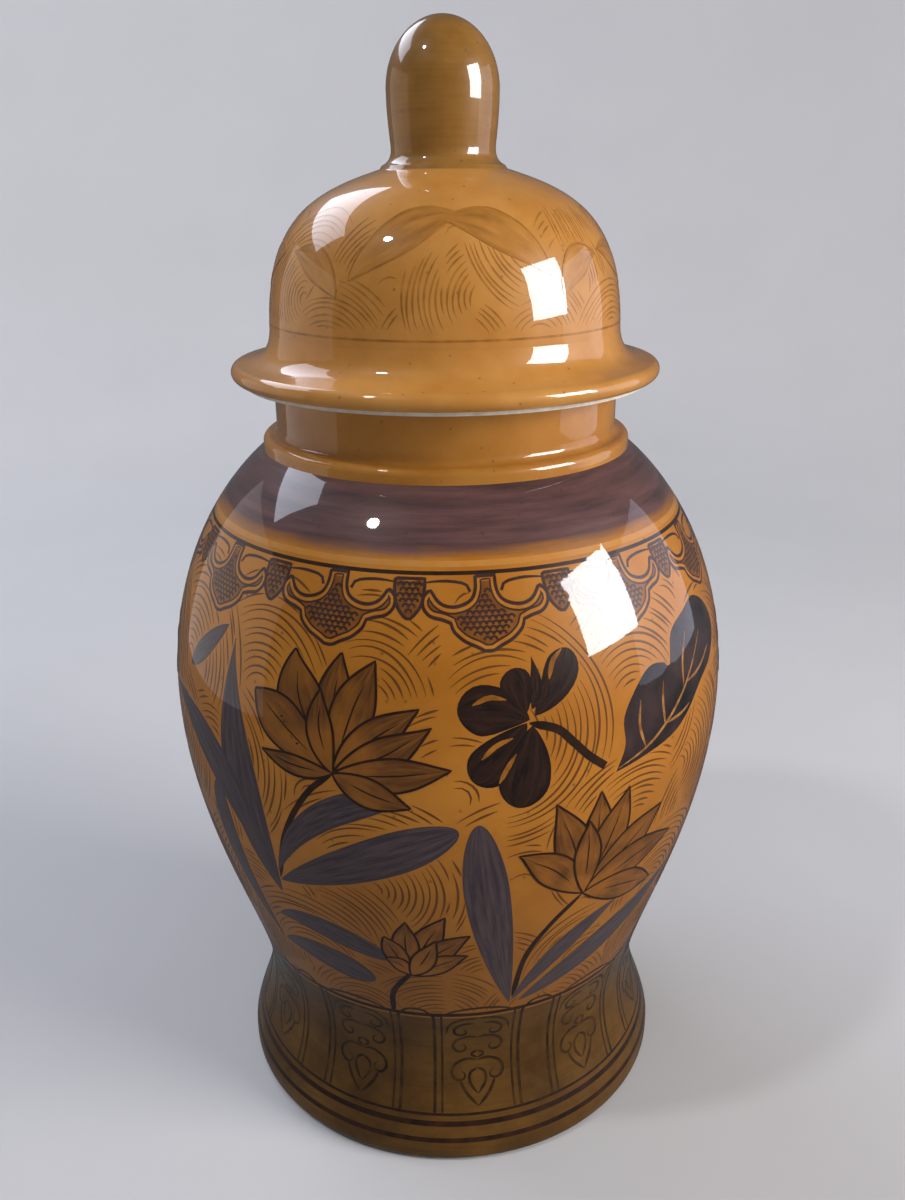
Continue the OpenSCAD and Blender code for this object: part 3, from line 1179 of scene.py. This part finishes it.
# Right half of a foot panel: its posts as (degrees from its middle, width), and its scrolls
PANEL_MIDDLE = 7
PANEL_POSTS = ((9.7, 0.8), (11.7, 1.1))
PANEL_ENDS = (19, 61.5)
PANEL_LINES = (
    ((0, 60), (4.5, 59.4), (7.6, 56.6), (8.6, 52)),
    ((1.2, 57), (4, 56.8), (6.3, 54.5), (6, 51.6), (4, 51), (3, 52.6), (3.9, 53.9)),
    ((0, 49.5), (2.6, 50), (5.6, 48.5), (6.8, 45.5), (5.5, 43), (3.6, 43.2), (3.2, 45.2), (4.3, 46)),
    ((0, 43), (1.8, 41.4), (0, 39.6)),
    ((0, 38.8), (3, 39.4), (6, 37.5), (7.2, 34), (6, 31), (4, 31), (3.4, 33), (4.5, 34.3)),
    ((4.8, 30.5), (3.7, 27), (2.1, 24), (0, 21)),
    ((0, 35.4), (2, 33.5), (2.2, 30), (1, 27), (0, 25.4)),
)
SCALLOPS = (
    ((11.7, 60), (13.5, 64.2), (16.4, 65.4), (19.2, 64.2), (21, 60)),
    ((-11, 61), (-6, 64.6), (0, 65.8), (6, 64.6), (11, 61)),
)

# Faint petals on the dome, as base, middle, tip, width in mm, and where each group is turned to
DOME_GROUPS = (0, 118, 236)
DOME_PETALS = (
    ((-30, 305), (-14, 318), (6, 323), 11),
    ((34, 306), (20, 318), (-2, 322), 11),
    ((-34, 300), (-44, 309), (-58, 312), 9),
    ((38, 300), (46, 309), (58, 311), 9),
)


def set_out(points, turn=0, hand=1, wall=BODY_WALL):
    """Flat places on a wall of a motif's points, turned round it and mirrored where hand is -1."""
    p = np.array(points, dtype=float)
    return wall.flat(np.stack([turn + hand * p[:, 0], p[:, 1]], axis=1))


def mirrored(half):
    """A closed outline from its right half, which runs from the top to the point at the bottom."""
    right = np.array(half, dtype=float)
    return np.concatenate([right, right[::-1] * (-1, 1)])


class JAR_OT_paint_rings(bpy.types.Operator):
    """Draws the level lines on the shoulder and the foot"""

    bl_idname = "jar.paint_rings"
    bl_label = "Draw the level lines"

    def execute(self, context):
        colours = context.scene.jar_colours
        light = Strokes(BODY_WALL)
        light.ring(*LIGHT_RING)
        light.piece("light_ring", drawn_slip("wax_resist_line", colours.resist, colours.amber))
        dark = Strokes(BODY_WALL)
        for height, width, layer in DARK_RINGS:
            dark.ring(height, width, layer)
        slip = drawn_slip("iron_slip_line", colours.line_deep, colours.line)
        dark.piece("dark_rings", slip, slot="foot_glaze")
        return {"FINISHED"}


class JAR_OT_paint_leaves(bpy.types.Operator):
    """Paints the long leaves in blue slip, and the lobed leaves with their veins"""

    bl_idname = "jar.paint_leaves"
    bl_label = "Paint the leaves"

    def execute(self, context):
        colours = context.scene.jar_colours
        leaves = Washes(BODY_WALL)
        lobed = Washes(BODY_WALL)
        veins = Strokes(BODY_WALL)
        for side, turn, hand in SPRAYS:
            for order, (base, mid, tip, width, blunt) in enumerate(LEAVES[side]):
                places = set_out((base, mid, tip), turn, hand)
                COVERED.append(leaves.leaf(*places, width, blunt, 1 + order))
        for side, turn, hand in SPRAYS:
            if side == "right":
                outline = flowing(set_out(LOBED_LEAF + LOBED_LEAF[:1], turn, hand))[:-1]
                COVERED.append(lobed.area(outline))
                for vein in LOBED_VEINS:
                    veins.add(flowing(set_out(vein, turn, hand)), LEAF_VEIN, 3)
        # The long leaves' slip colours hold a painted reflection of pale haze as well as the cobalt slip's
        # own colour
        leaves.piece("long_leaves", brushed_slip("cobalt_iron_slip", colours.blue, colours.blue_thin))
        slip = brushed_slip("iron_slip_wash", colours.wash, colours.dark, (3, 3), 0)
        lobed.piece("lobed_leaves", slip)
        veins.piece("leaf_veins", drawn_slip("scratched_vein", colours.wave, colours.resist))
        return {"FINISHED"}


def draw_lotus(petals, lines, base, rows, turn, hand):
    """A lotus: petals in layers from back to front, each with an outline and a short vein.

    A petal is painted a little wider than it is set out, so that neighbours overlap. The vein starts
    a third of the way up it.
    """
    for order, (mid, tip, width) in enumerate(rows):
        layer = 2 + 3 * order
        start, middle, end = set_out((base, mid, tip), turn, hand)
        outline = petals.leaf(start, middle, end, PETAL_SPREAD * width, False, layer)
        COVERED.append(outline)
        lines.loop(closed_line(outline, PETAL_STEP), OUTLINE, layer + 1.5)
        vein = flowing((start, middle, (1 - VEIN_REACH) * middle + VEIN_REACH * end))
        lines.add(vein[len(vein) // 3 :], PETAL_VEIN, layer + 1.5)


def draw_blossom(petals, lines, lights, turn, hand):
    """A dark blossom: blunt petals and pointed stamens, light strokes on them and a twig."""
    for order, (base, mid, tip, width) in enumerate(BLOSSOM):
        places = set_out((base, mid, tip), turn, hand)
        COVERED.append(petals.leaf(*places, width, width > STAMEN_WIDTH, 2 + order))
    for light in BLOSSOM_LIGHTS:
        lights.add(flowing(set_out(light, turn, hand)), LIGHT_WIDTH, 10)
    lines.add(flowing(set_out(TWIG, turn, hand)), TWIG_WIDTH, 9, (0.1, 0))


class JAR_OT_paint_flowers(bpy.types.Operator):
    """Paints the lotus flowers, the dark blossoms, their stems and their outlines"""

    bl_idname = "jar.paint_flowers"
    bl_label = "Paint the flowers"

    def execute(self, context):
        colours = context.scene.jar_colours
        petals = Washes(BODY_WALL)
        blooms = Washes(BODY_WALL)
        lines = Strokes(BODY_WALL)
        lights = Strokes(BODY_WALL)
        for side, turn, hand in SPRAYS:
            for base, rows in LOTUSES[side]:
                draw_lotus(petals, lines, base, rows, turn, hand)
        for side, turn, hand in SPRAYS:
            for stem in STEMS[side]:
                lines.add(flowing(set_out(stem, turn, hand)), STEM_WIDTH, 1, (0.1, 0.1))
        for side, turn, hand in SPRAYS:
            if side == "right":
                draw_blossom(blooms, lines, lights, turn, hand)
        thin = brushed_slip(
            "thin_iron_wash", colours.petal, colours.petal_thin, (5, 1.2), 0.45, colours.amber_deep
        )
        petals.piece("lotus_petals", thin)
        lines.piece("flower_lines", drawn_slip("flower_line_slip", colours.line_deep, colours.line))
        thick = brushed_slip("thick_iron_slip", colours.dark, colours.dark_thin, (5, 1.5), 0.6)
        blooms.piece("dark_blossoms", thick)
        scratched = drawn_slip("scratched_light", colours.amber_low, colours.amber_deep)
        lights.piece("blossom_lights", scratched)
        return {"FINISHED"}


def set_in(outline, distance):
    """An outline moved inwards by a distance, without the points that would cross over."""
    way = np.roll(outline, -1, axis=0) - np.roll(outline, 1, axis=0)
    normal = np.stack([way[:, 1], -way[:, 0]], axis=1)
    normal /= np.linalg.norm(normal, axis=1)[:, None] + 1e-9
    hand = 1 if inside(outline[:1] + 0.2 * normal[:1], outline)[0] else -1
    moved = outline + hand * distance * normal
    return moved[clearance(moved, outline) > 0.6 * distance]


def draw_scales(strokes, outline, margin):
    """Rows of small overlapping arches inside an outline, a margin away from it."""
    low_x, low_y = outline.min(axis=0)
    high_x, high_y = outline.max(axis=0)
    for row, y in enumerate(np.arange(low_y, high_y, SCALE_GAP * SCALE_RISE)):
        for x in np.arange(low_x + SCALE_GAP / 2 * (row % 2), high_x, SCALE_GAP):
            bow = arc((x, y), SCALE_GAP * SCALE_R, 170, 10, 5)
            if clearance(bow, outline).min() > margin:
                strokes.add(bow, LAPPET_SCALE, 2, (0, 0))


def draw_lappet(fills, lines, outline, margin, bands=None):
    """A filled shape with an outline and a net of scales, and where bands are given a double border."""
    COVERED.append(outline)
    fills.area(outline)
    lines.loop(closed_line(outline, LAPPET_STEP), LAPPET_OUTLINE, 2)
    if bands:
        bands.loop(closed_line(set_in(outline, BORDER_INSET), LAPPET_STEP), LAPPET_BORDER, 1.5)
        lines.loop(closed_line(set_in(outline, INNER_INSET), LAPPET_STEP), LAPPET_INNER, 2)
    draw_scales(lines, outline, margin)


class JAR_OT_paint_lappets(bpy.types.Operator):
    """Draws the cloud lappets and pendants that hang from the shoulder line"""

    bl_idname = "jar.paint_lappets"
    bl_label = "Draw the lappets"

    def execute(self, context):
        colours = context.scene.jar_colours
        fills = Washes(BODY_WALL)
        bands = Strokes(BODY_WALL)
        lines = Strokes(BODY_WALL)
        count = context.scene.jar_sizes.lappets
        arm, hook, lobe = (flowing(run, 1.0) for run in LAPPET_HALF)
        cloud = mirrored(np.concatenate([arm, hook[1:], lobe[1:-1]]))
        pendant = mirrored(flowing(PENDANT_HALF, 1.0)[:-1])
        for i in range(count):
            turn = LAPPET_MIDDLE + 360 * i / count
            draw_lappet(fills, lines, set_out(cloud, turn), SCALE_GAP, bands)
            for hand in (1, -1):
                lines.add(flowing(set_out(LAPPET_EYE, turn, hand)), EYE_WIDTH, 1, (0, 0.5))
                COVERED.append(flowing(set_out(LAPPET_EYE + LAPPET_HALF[1][:1], turn, hand)))
            draw_lappet(fills, lines, set_out(pendant, turn + 180 / count), PENDANT_MARGIN)
        fill = brushed_slip("lappet_wash", colours.lappet, colours.lappet_thin, (4, 4), 0)
        fills.piece("lappet_fills", fill)
        bands.piece("lappet_bands", drawn_slip("lappet_resist", colours.amber_deep, colours.amber))
        lines.piece("lappet_lines", drawn_slip("lappet_line_slip", colours.line, colours.wash))
        return {"FINISHED"}


# Ground that the waves fill, as its lowest and highest place on the belly and on the dome
BELLY_WAVES = (64, 223)
DOME_WAVES = (291, 325)

# Wave fans: their spacing across and up in radii, how far a centre strays in radii, how far a fan
# leans and spreads to each side in degrees, and how much its size varies
FAN_ACROSS = 1.25
FAN_UP = 0.8
FAN_STRAY = 0.22
FAN_LEAN = 70
FAN_SPREAD = (85, 120)
FAN_SIZE = (0.85, 1.15)

# Size of the cells that the ground is cut into, step between the points of a wave line, least points
# in a run of one, and how much a mark is grown before the waves stop at it
WAVE_CELL = 0.6
WAVE_STEP = 1.8
LEAST_RUN = 4
MARK_GROWTH = 1.03


class WaveGround:
    """The ground behind the motifs, in small square cells, with the fans of waves that fill it."""

    def __init__(self, wall, low_z, high_z, sizes, scale=1.0):
        self.cell = WAVE_CELL * scale
        self.gap = sizes.wave_gap / MM * scale
        self.radius = sizes.fan_radius / MM * scale
        self.low_z = low_z
        self.height = high_z - low_z
        self.width = 360 * wall.degree
        self.columns = int(self.width / self.cell)
        self.rows = int(self.height / self.cell)
        x = (np.arange(self.columns) + 0.5) * self.cell
        y = low_z + np.arange(self.rows) * self.cell
        self.cells = np.stack([axis.ravel() for axis in np.meshgrid(x, y)], axis=1)
        self.blocked = np.zeros(len(self.cells), dtype=bool)
        self.owner = np.full(len(self.cells), -1)

    def keep_off(self, outline):
        """Blocks the cells under a mark, looking only at cells within 1 mm of its box."""
        for shift in (-self.width, 0, self.width):
            moved = outline + (shift, 0)
            least, most = moved.min(axis=0) - 1, moved.max(axis=0) + 1
            near = np.flatnonzero(((self.cells > least) & (self.cells < most)).all(axis=1))
            middle = moved.mean(axis=0)
            under = inside(self.cells[near], middle + (moved - middle) * MARK_GROWTH)
            self.blocked[near[under]] = True

    def fans(self, rng):
        """Fans as centre, heading, spread to each side and size. Each covers part of those before."""
        across = int(self.width / (FAN_ACROSS * self.radius))
        up = int(self.height / (FAN_UP * self.radius)) + 2
        centres = [
            ((x + 0.5 * (y % 2)) * self.width / across, self.low_z + (FAN_UP * y - 0.4) * self.radius)
            for x in range(across)
            for y in range(up)
        ]
        fans = []
        for i, place in enumerate(rng.permutation(centres)):
            centre = place + rng.uniform(-FAN_STRAY, FAN_STRAY, 2) * self.radius
            heading = math.radians(90 + rng.uniform(-FAN_LEAN, FAN_LEAN))
            spread = math.radians(rng.uniform(*FAN_SPREAD))
            size = self.radius * rng.uniform(*FAN_SIZE)
            away = self.cells - centre
            away[:, 0] = (away[:, 0] + self.width / 2) % self.width - self.width / 2
            turn = np.arctan2(away[:, 1], away[:, 0]) - heading
            turn = (turn + math.pi) % math.tau - math.pi
            reached = np.hypot(away[:, 0], away[:, 1]) < size + self.gap * 0.5
            self.owner[reached & (np.abs(turn) < spread)] = i
            fans.append((centre, heading, spread, size))
        return fans

    def seen_runs(self, line, fan):
        """The runs of a fan's line that no mark and no later fan covers, without the shortest."""
        column = np.minimum((line[:, 0] / self.cell).astype(int), self.columns - 1)
        row = ((line[:, 1] - self.low_z) / self.cell).astype(int)
        spot = np.clip(row, 0, self.rows - 1) * self.columns + column
        keep = (row >= 0) & (row < self.rows) & (self.owner[spot] == fan) & ~self.blocked[spot]
        keep[1:] &= np.abs(np.diff(line[:, 0])) < self.width / 2
        ends = np.flatnonzero(np.diff(np.concatenate([[0], keep.astype(int), [0]])))
        return [line[a:b] for a, b in ends.reshape(-1, 2) if b - a >= LEAST_RUN]

    def lines(self, seed):
        """The freehand lines of all the fans, which overlap like scales."""
        found = []
        for i, (centre, heading, spread, size) in enumerate(self.fans(np.random.default_rng(seed))):
            for r in np.arange(size, self.gap * 1.2, -self.gap):
                count = max(5, int(2 * spread * r / WAVE_STEP))
                turn = np.linspace(heading - spread, heading + spread, count)
                sway = r * (1 + 0.02 * math.sin(r) * np.sin(3 * turn + i))
                line = centre + np.stack([sway * np.cos(turn), sway * np.sin(turn)], axis=1)
                line[:, 0] %= self.width
                found += self.seen_runs(line, i)
        return found


class JAR_OT_paint_waves(bpy.types.Operator):
    """Draws the wave fans that fill the ground between the motifs"""

    bl_idname = "jar.paint_waves"
    bl_label = "Draw the waves"

    def execute(self, context):
        sizes = context.scene.jar_sizes
        colours = context.scene.jar_colours
        ground = WaveGround(BODY_WALL, *BELLY_WAVES, sizes)
        for outline in COVERED:
            ground.keep_off(outline)
        strokes = Strokes(BODY_WALL)
        rng = np.random.default_rng(sizes.seed + 1)
        for line in ground.lines(sizes.seed):
            width = sizes.wave_width / MM * rng.uniform(0.75, 1.2)
            strokes.add(line, width, 0, (0.3, 0.5))
        slip = drawn_slip("thin_iron_slip_line", colours.wave, colours.amber_low)
        strokes.piece("wave_fans", slip)
        return {"FINISHED"}


class JAR_OT_paint_foot(bpy.types.Operator):
    """Draws the panels with cloud scrolls round the foot"""

    bl_idname = "jar.paint_foot"
    bl_label = "Draw the foot panels"

    def execute(self, context):
        colours = context.scene.jar_colours
        lines = Strokes(BODY_WALL)
        count = context.scene.jar_sizes.panels
        for i in range(count):
            turn = PANEL_MIDDLE + 360 * i / count
            for hand in (1, -1):
                for offset, width in PANEL_POSTS:
                    post = set_out([(offset, z) for z in PANEL_ENDS], turn, hand)
                    lines.add(spaced(post, 3), width, 0, (0, 0))
                for run in PANEL_LINES:
                    lines.add(flowing(set_out(run, turn, hand), 1.4), SCROLL_WIDTH, 1, (0.12, 0.25))
            for scallop in SCALLOPS:
                lines.add(flowing(set_out(scallop, turn)), SCALLOP_WIDTH, 2)
        slip = drawn_slip("foot_line_slip", colours.line_deep, colours.foot_deep)
        lines.piece("foot_scrolls", slip, slot="foot_glaze")
        return {"FINISHED"}


class JAR_OT_paint_dome(bpy.types.Operator):
    """Draws the faint petals, waves and level line under the honey glaze of the dome"""

    bl_idname = "jar.paint_dome"
    bl_label = "Draw on the dome"

    def execute(self, context):
        sizes = context.scene.jar_sizes
        colours = context.scene.jar_colours
        ground = WaveGround(DOME_FACE, *DOME_WAVES, sizes, 0.75)
        washes = Washes(DOME_FACE)
        lines = Strokes(DOME_FACE)
        for turn in DOME_GROUPS:
            for order, (base, mid, tip, width) in enumerate(DOME_PETALS):
                places = set_out((base, mid, tip), turn, wall=DOME_FACE)
                outline = washes.leaf(*places, width, False, 7 + 3 * order, 9)
                ground.keep_off(outline)
                lines.loop(closed_line(outline), DOME_WIDTH, 8.5 + 3 * order)
        for line in ground.lines(sizes.seed):
            lines.add(line, DOME_WIDTH, 0, (0.2, 0.4))
        lines.ring(*DOME_RING)
        slip = drawn_slip("faint_dome_line", colours.dome_line, colours.honey_deep)
        lines.piece("dome_lines", slip, "lid", "honey_glaze")
        faint = brushed_slip(
            "faint_dome_wash", colours.dome_line, colours.honey_deep, (4, 1.2), 0.3, colours.honey
        )
        washes.piece("dome_petals", faint, "lid", "honey_glaze")
        return {"FINISHED"}


# Studio

CAMERA_PLACE = (0.0, -381.3, 332.5)
CAMERA_DOWN = 20.97
CAMERA_TURN = 0.27
CAMERA_ROLL = -0.46
CAMERA_LENS = 33.0
JAR_MIDDLE = (0.0, 0.0, 200.0)

# The floor: radii of its rings, and the share of the wall's height that each one rises behind the jar
FLOOR_RINGS = (0, 120, 260, 420, 600, 800, 960, 1080, 1180, 1260, 1320, 1360)
FLOOR_LIFTS = (0, 0, 0, 0, 0, 0, 0.02, 0.09, 0.22, 0.42, 0.68, 1.0)
FLOOR_WALL = 1100
FLOOR_SEGMENTS = 96


def camera_turn():
    """The camera's rotation from its downward pitch, turn and roll in degrees."""
    down, turn, roll = (math.radians(a) for a in (CAMERA_DOWN, CAMERA_TURN, CAMERA_ROLL))
    level = math.cos(down)
    ahead = Vector((math.sin(turn) * level, math.cos(turn) * level, -math.sin(down)))
    right = Vector((math.cos(turn), -math.sin(turn), 0))
    up = right.cross(ahead)
    side = math.cos(roll) * right + math.sin(roll) * up
    head = math.cos(roll) * up - math.sin(roll) * right
    return Matrix((side, head, -ahead)).transposed()


def floor_mesh():
    """A round floor that curves up to a low wall behind the jar."""
    count = FLOOR_SEGMENTS
    verts = []
    for ring, lift in zip(FLOOR_RINGS, FLOOR_LIFTS):
        for i in range(count):
            x, y = math.cos(math.tau * i / count), math.sin(math.tau * i / count)
            verts.append((ring * x * MM, ring * y * MM, FLOOR_WALL * lift * max(0.0, y) ** 0.5 * MM))
    faces = []
    for j in range(len(FLOOR_RINGS) - 1):
        for i in range(count):
            a = j * count + i
            b = j * count + (i + 1) % count
            faces.append((a, b, b + count, a + count))
    mesh = bpy.data.meshes.new("studio_floor")
    mesh.from_pydata(verts, [], faces)
    work = bmesh.new()
    work.from_mesh(mesh)
    bmesh.ops.remove_doubles(work, verts=work.verts, dist=0.1 * MM)
    work.to_mesh(mesh)
    work.free()
    mesh.shade_smooth()
    mesh.materials.append(studio_paper())
    return mesh


def lamp(name, azimuth, elevation, distance, size, power, colour, seen_as="both", shape="RECTANGLE"):
    """A soft area lamp at a place given from the jar's middle: azimuth 0 is the front, 90 the right.

    Seen as "light" it makes no highlight, and seen as "shine" it makes nothing but a highlight.
    """
    light = bpy.data.lights.new(name, "AREA")
    light.shape = shape
    light.size = size[0] * MM
    light.size_y = size[1] * MM
    light.energy = power
    light.color = hex_to_linear(colour)
    turn, rise = math.radians(azimuth), math.radians(elevation)
    way = Vector((math.sin(turn) * math.cos(rise), -math.cos(turn) * math.cos(rise), math.sin(rise)))
    holder = bpy.data.objects.new(name, light)
    holder.location = (Vector(JAR_MIDDLE) + distance * way) * MM
    holder.rotation_euler = way.to_track_quat("Z", "Y").to_euler()
    holder.visible_camera = False
    holder.visible_diffuse = seen_as != "shine"
    holder.visible_glossy = seen_as != "light"
    bpy.context.scene.collection.objects.link(holder)


class JAR_OT_set_stage(bpy.types.Operator):
    """Sets the floor, which the glaze doesn't mirror, the lamps, the sky and the camera"""

    bl_idname = "jar.set_stage"
    bl_label = "Set the studio"

    def execute(self, context):
        scene = context.scene
        floor = bpy.data.objects.new("studio_floor", floor_mesh())
        scene.collection.objects.link(floor)
        floor.visible_glossy = False
        lamp("window_softbox", 69, 19, 1700, (800, 800), 29, "#FFFAF4")
        lamp("window_glint", 69, 19, 1690, (800, 800), 26, "#EEF4FF", "shine")
        lamp("left_screen", -102, 4, 1150, (1250, 900), 1.9, "#F8F4F4")
        lamp("left_window", -130, 42, 1500, (1300, 520), 11, "#E6EEFF")
        lamp("overhead_softbox", 0, 64, 1500, (1300, 700), 4.0, "#F4F2FF", "light")
        lamp("right_glint", 98, 8, 1500, (1100, 1000), 5, "#E0E8FF", "shine")
        lamp("round_lamp", -55, 57, 1300, (100, 100), 3.5, "#FFFFFF", shape="DISK")
        world = bpy.data.worlds.new("studio_sky")
        scene.world = world
        world.use_nodes = True
        world.node_tree.nodes.clear()
        pale = hex_to_linear("#DDE2EA")
        sky = add_node(world.node_tree, "ShaderNodeBackground", Color=pale, Strength=0.14)
        add_node(world.node_tree, "ShaderNodeOutputWorld", Surface=sky)
        camera = bpy.data.cameras.new("camera")
        camera.lens = CAMERA_LENS
        camera.sensor_width = 36
        camera.clip_start = 0.01
        holder = bpy.data.objects.new("camera", camera)
        holder.matrix_world = Matrix.Translation(Vector(CAMERA_PLACE) * MM) @ camera_turn().to_4x4()
        scene.collection.objects.link(holder)
        scene.camera = holder
        scene.view_settings.view_transform = "Standard"
        return {"FINISHED"}


class JAR_PT_looks(bpy.types.Panel):
    """Lists the jar's settings and the steps that build it"""

    bl_idname = "JAR_PT_looks"
    bl_label = "Ginger jar"
    bl_space_type = "VIEW_3D"
    bl_region_type = "UI"
    bl_category = "Ginger jar"

    def draw(self, context):
        layout = self.layout
        for group in (context.scene.jar_sizes, context.scene.jar_colours):
            box = layout.box()
            for key in group.bl_rna.properties.keys():
                if key not in ("rna_type", "name"):
                    box.prop(group, key)
        for step in STEPS:
            layout.operator(step.bl_idname)


STEPS = (
    JAR_OT_turn_jar,
    JAR_OT_turn_lid,
    JAR_OT_paint_rings,
    JAR_OT_paint_leaves,
    JAR_OT_paint_flowers,
    JAR_OT_paint_lappets,
    JAR_OT_paint_waves,
    JAR_OT_paint_foot,
    JAR_OT_paint_dome,
    JAR_OT_set_stage,
)
CLASSES = (JarSizes, JarColours, *STEPS, JAR_PT_looks)


def register():
    """Registers the settings, the steps and the panel."""
    for item in CLASSES:
        bpy.utils.register_class(item)
    bpy.types.Scene.jar_sizes = bpy.props.PointerProperty(type=JarSizes)
    bpy.types.Scene.jar_colours = bpy.props.PointerProperty(type=JarColours)


def unregister():
    """Takes them away again."""
    del bpy.types.Scene.jar_colours
    del bpy.types.Scene.jar_sizes
    for item in reversed(CLASSES):
        bpy.utils.unregister_class(item)


def main():
    """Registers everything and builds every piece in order."""
    register()
    bpy.ops.jar.turn_jar()
    bpy.ops.jar.turn_lid()
    bpy.ops.jar.paint_rings()
    bpy.ops.jar.paint_leaves()
    bpy.ops.jar.paint_flowers()
    bpy.ops.jar.paint_lappets()
    bpy.ops.jar.paint_waves()
    bpy.ops.jar.paint_foot()
    bpy.ops.jar.paint_dome()
    bpy.ops.jar.set_stage()


if __name__ == "__main__":
    main()
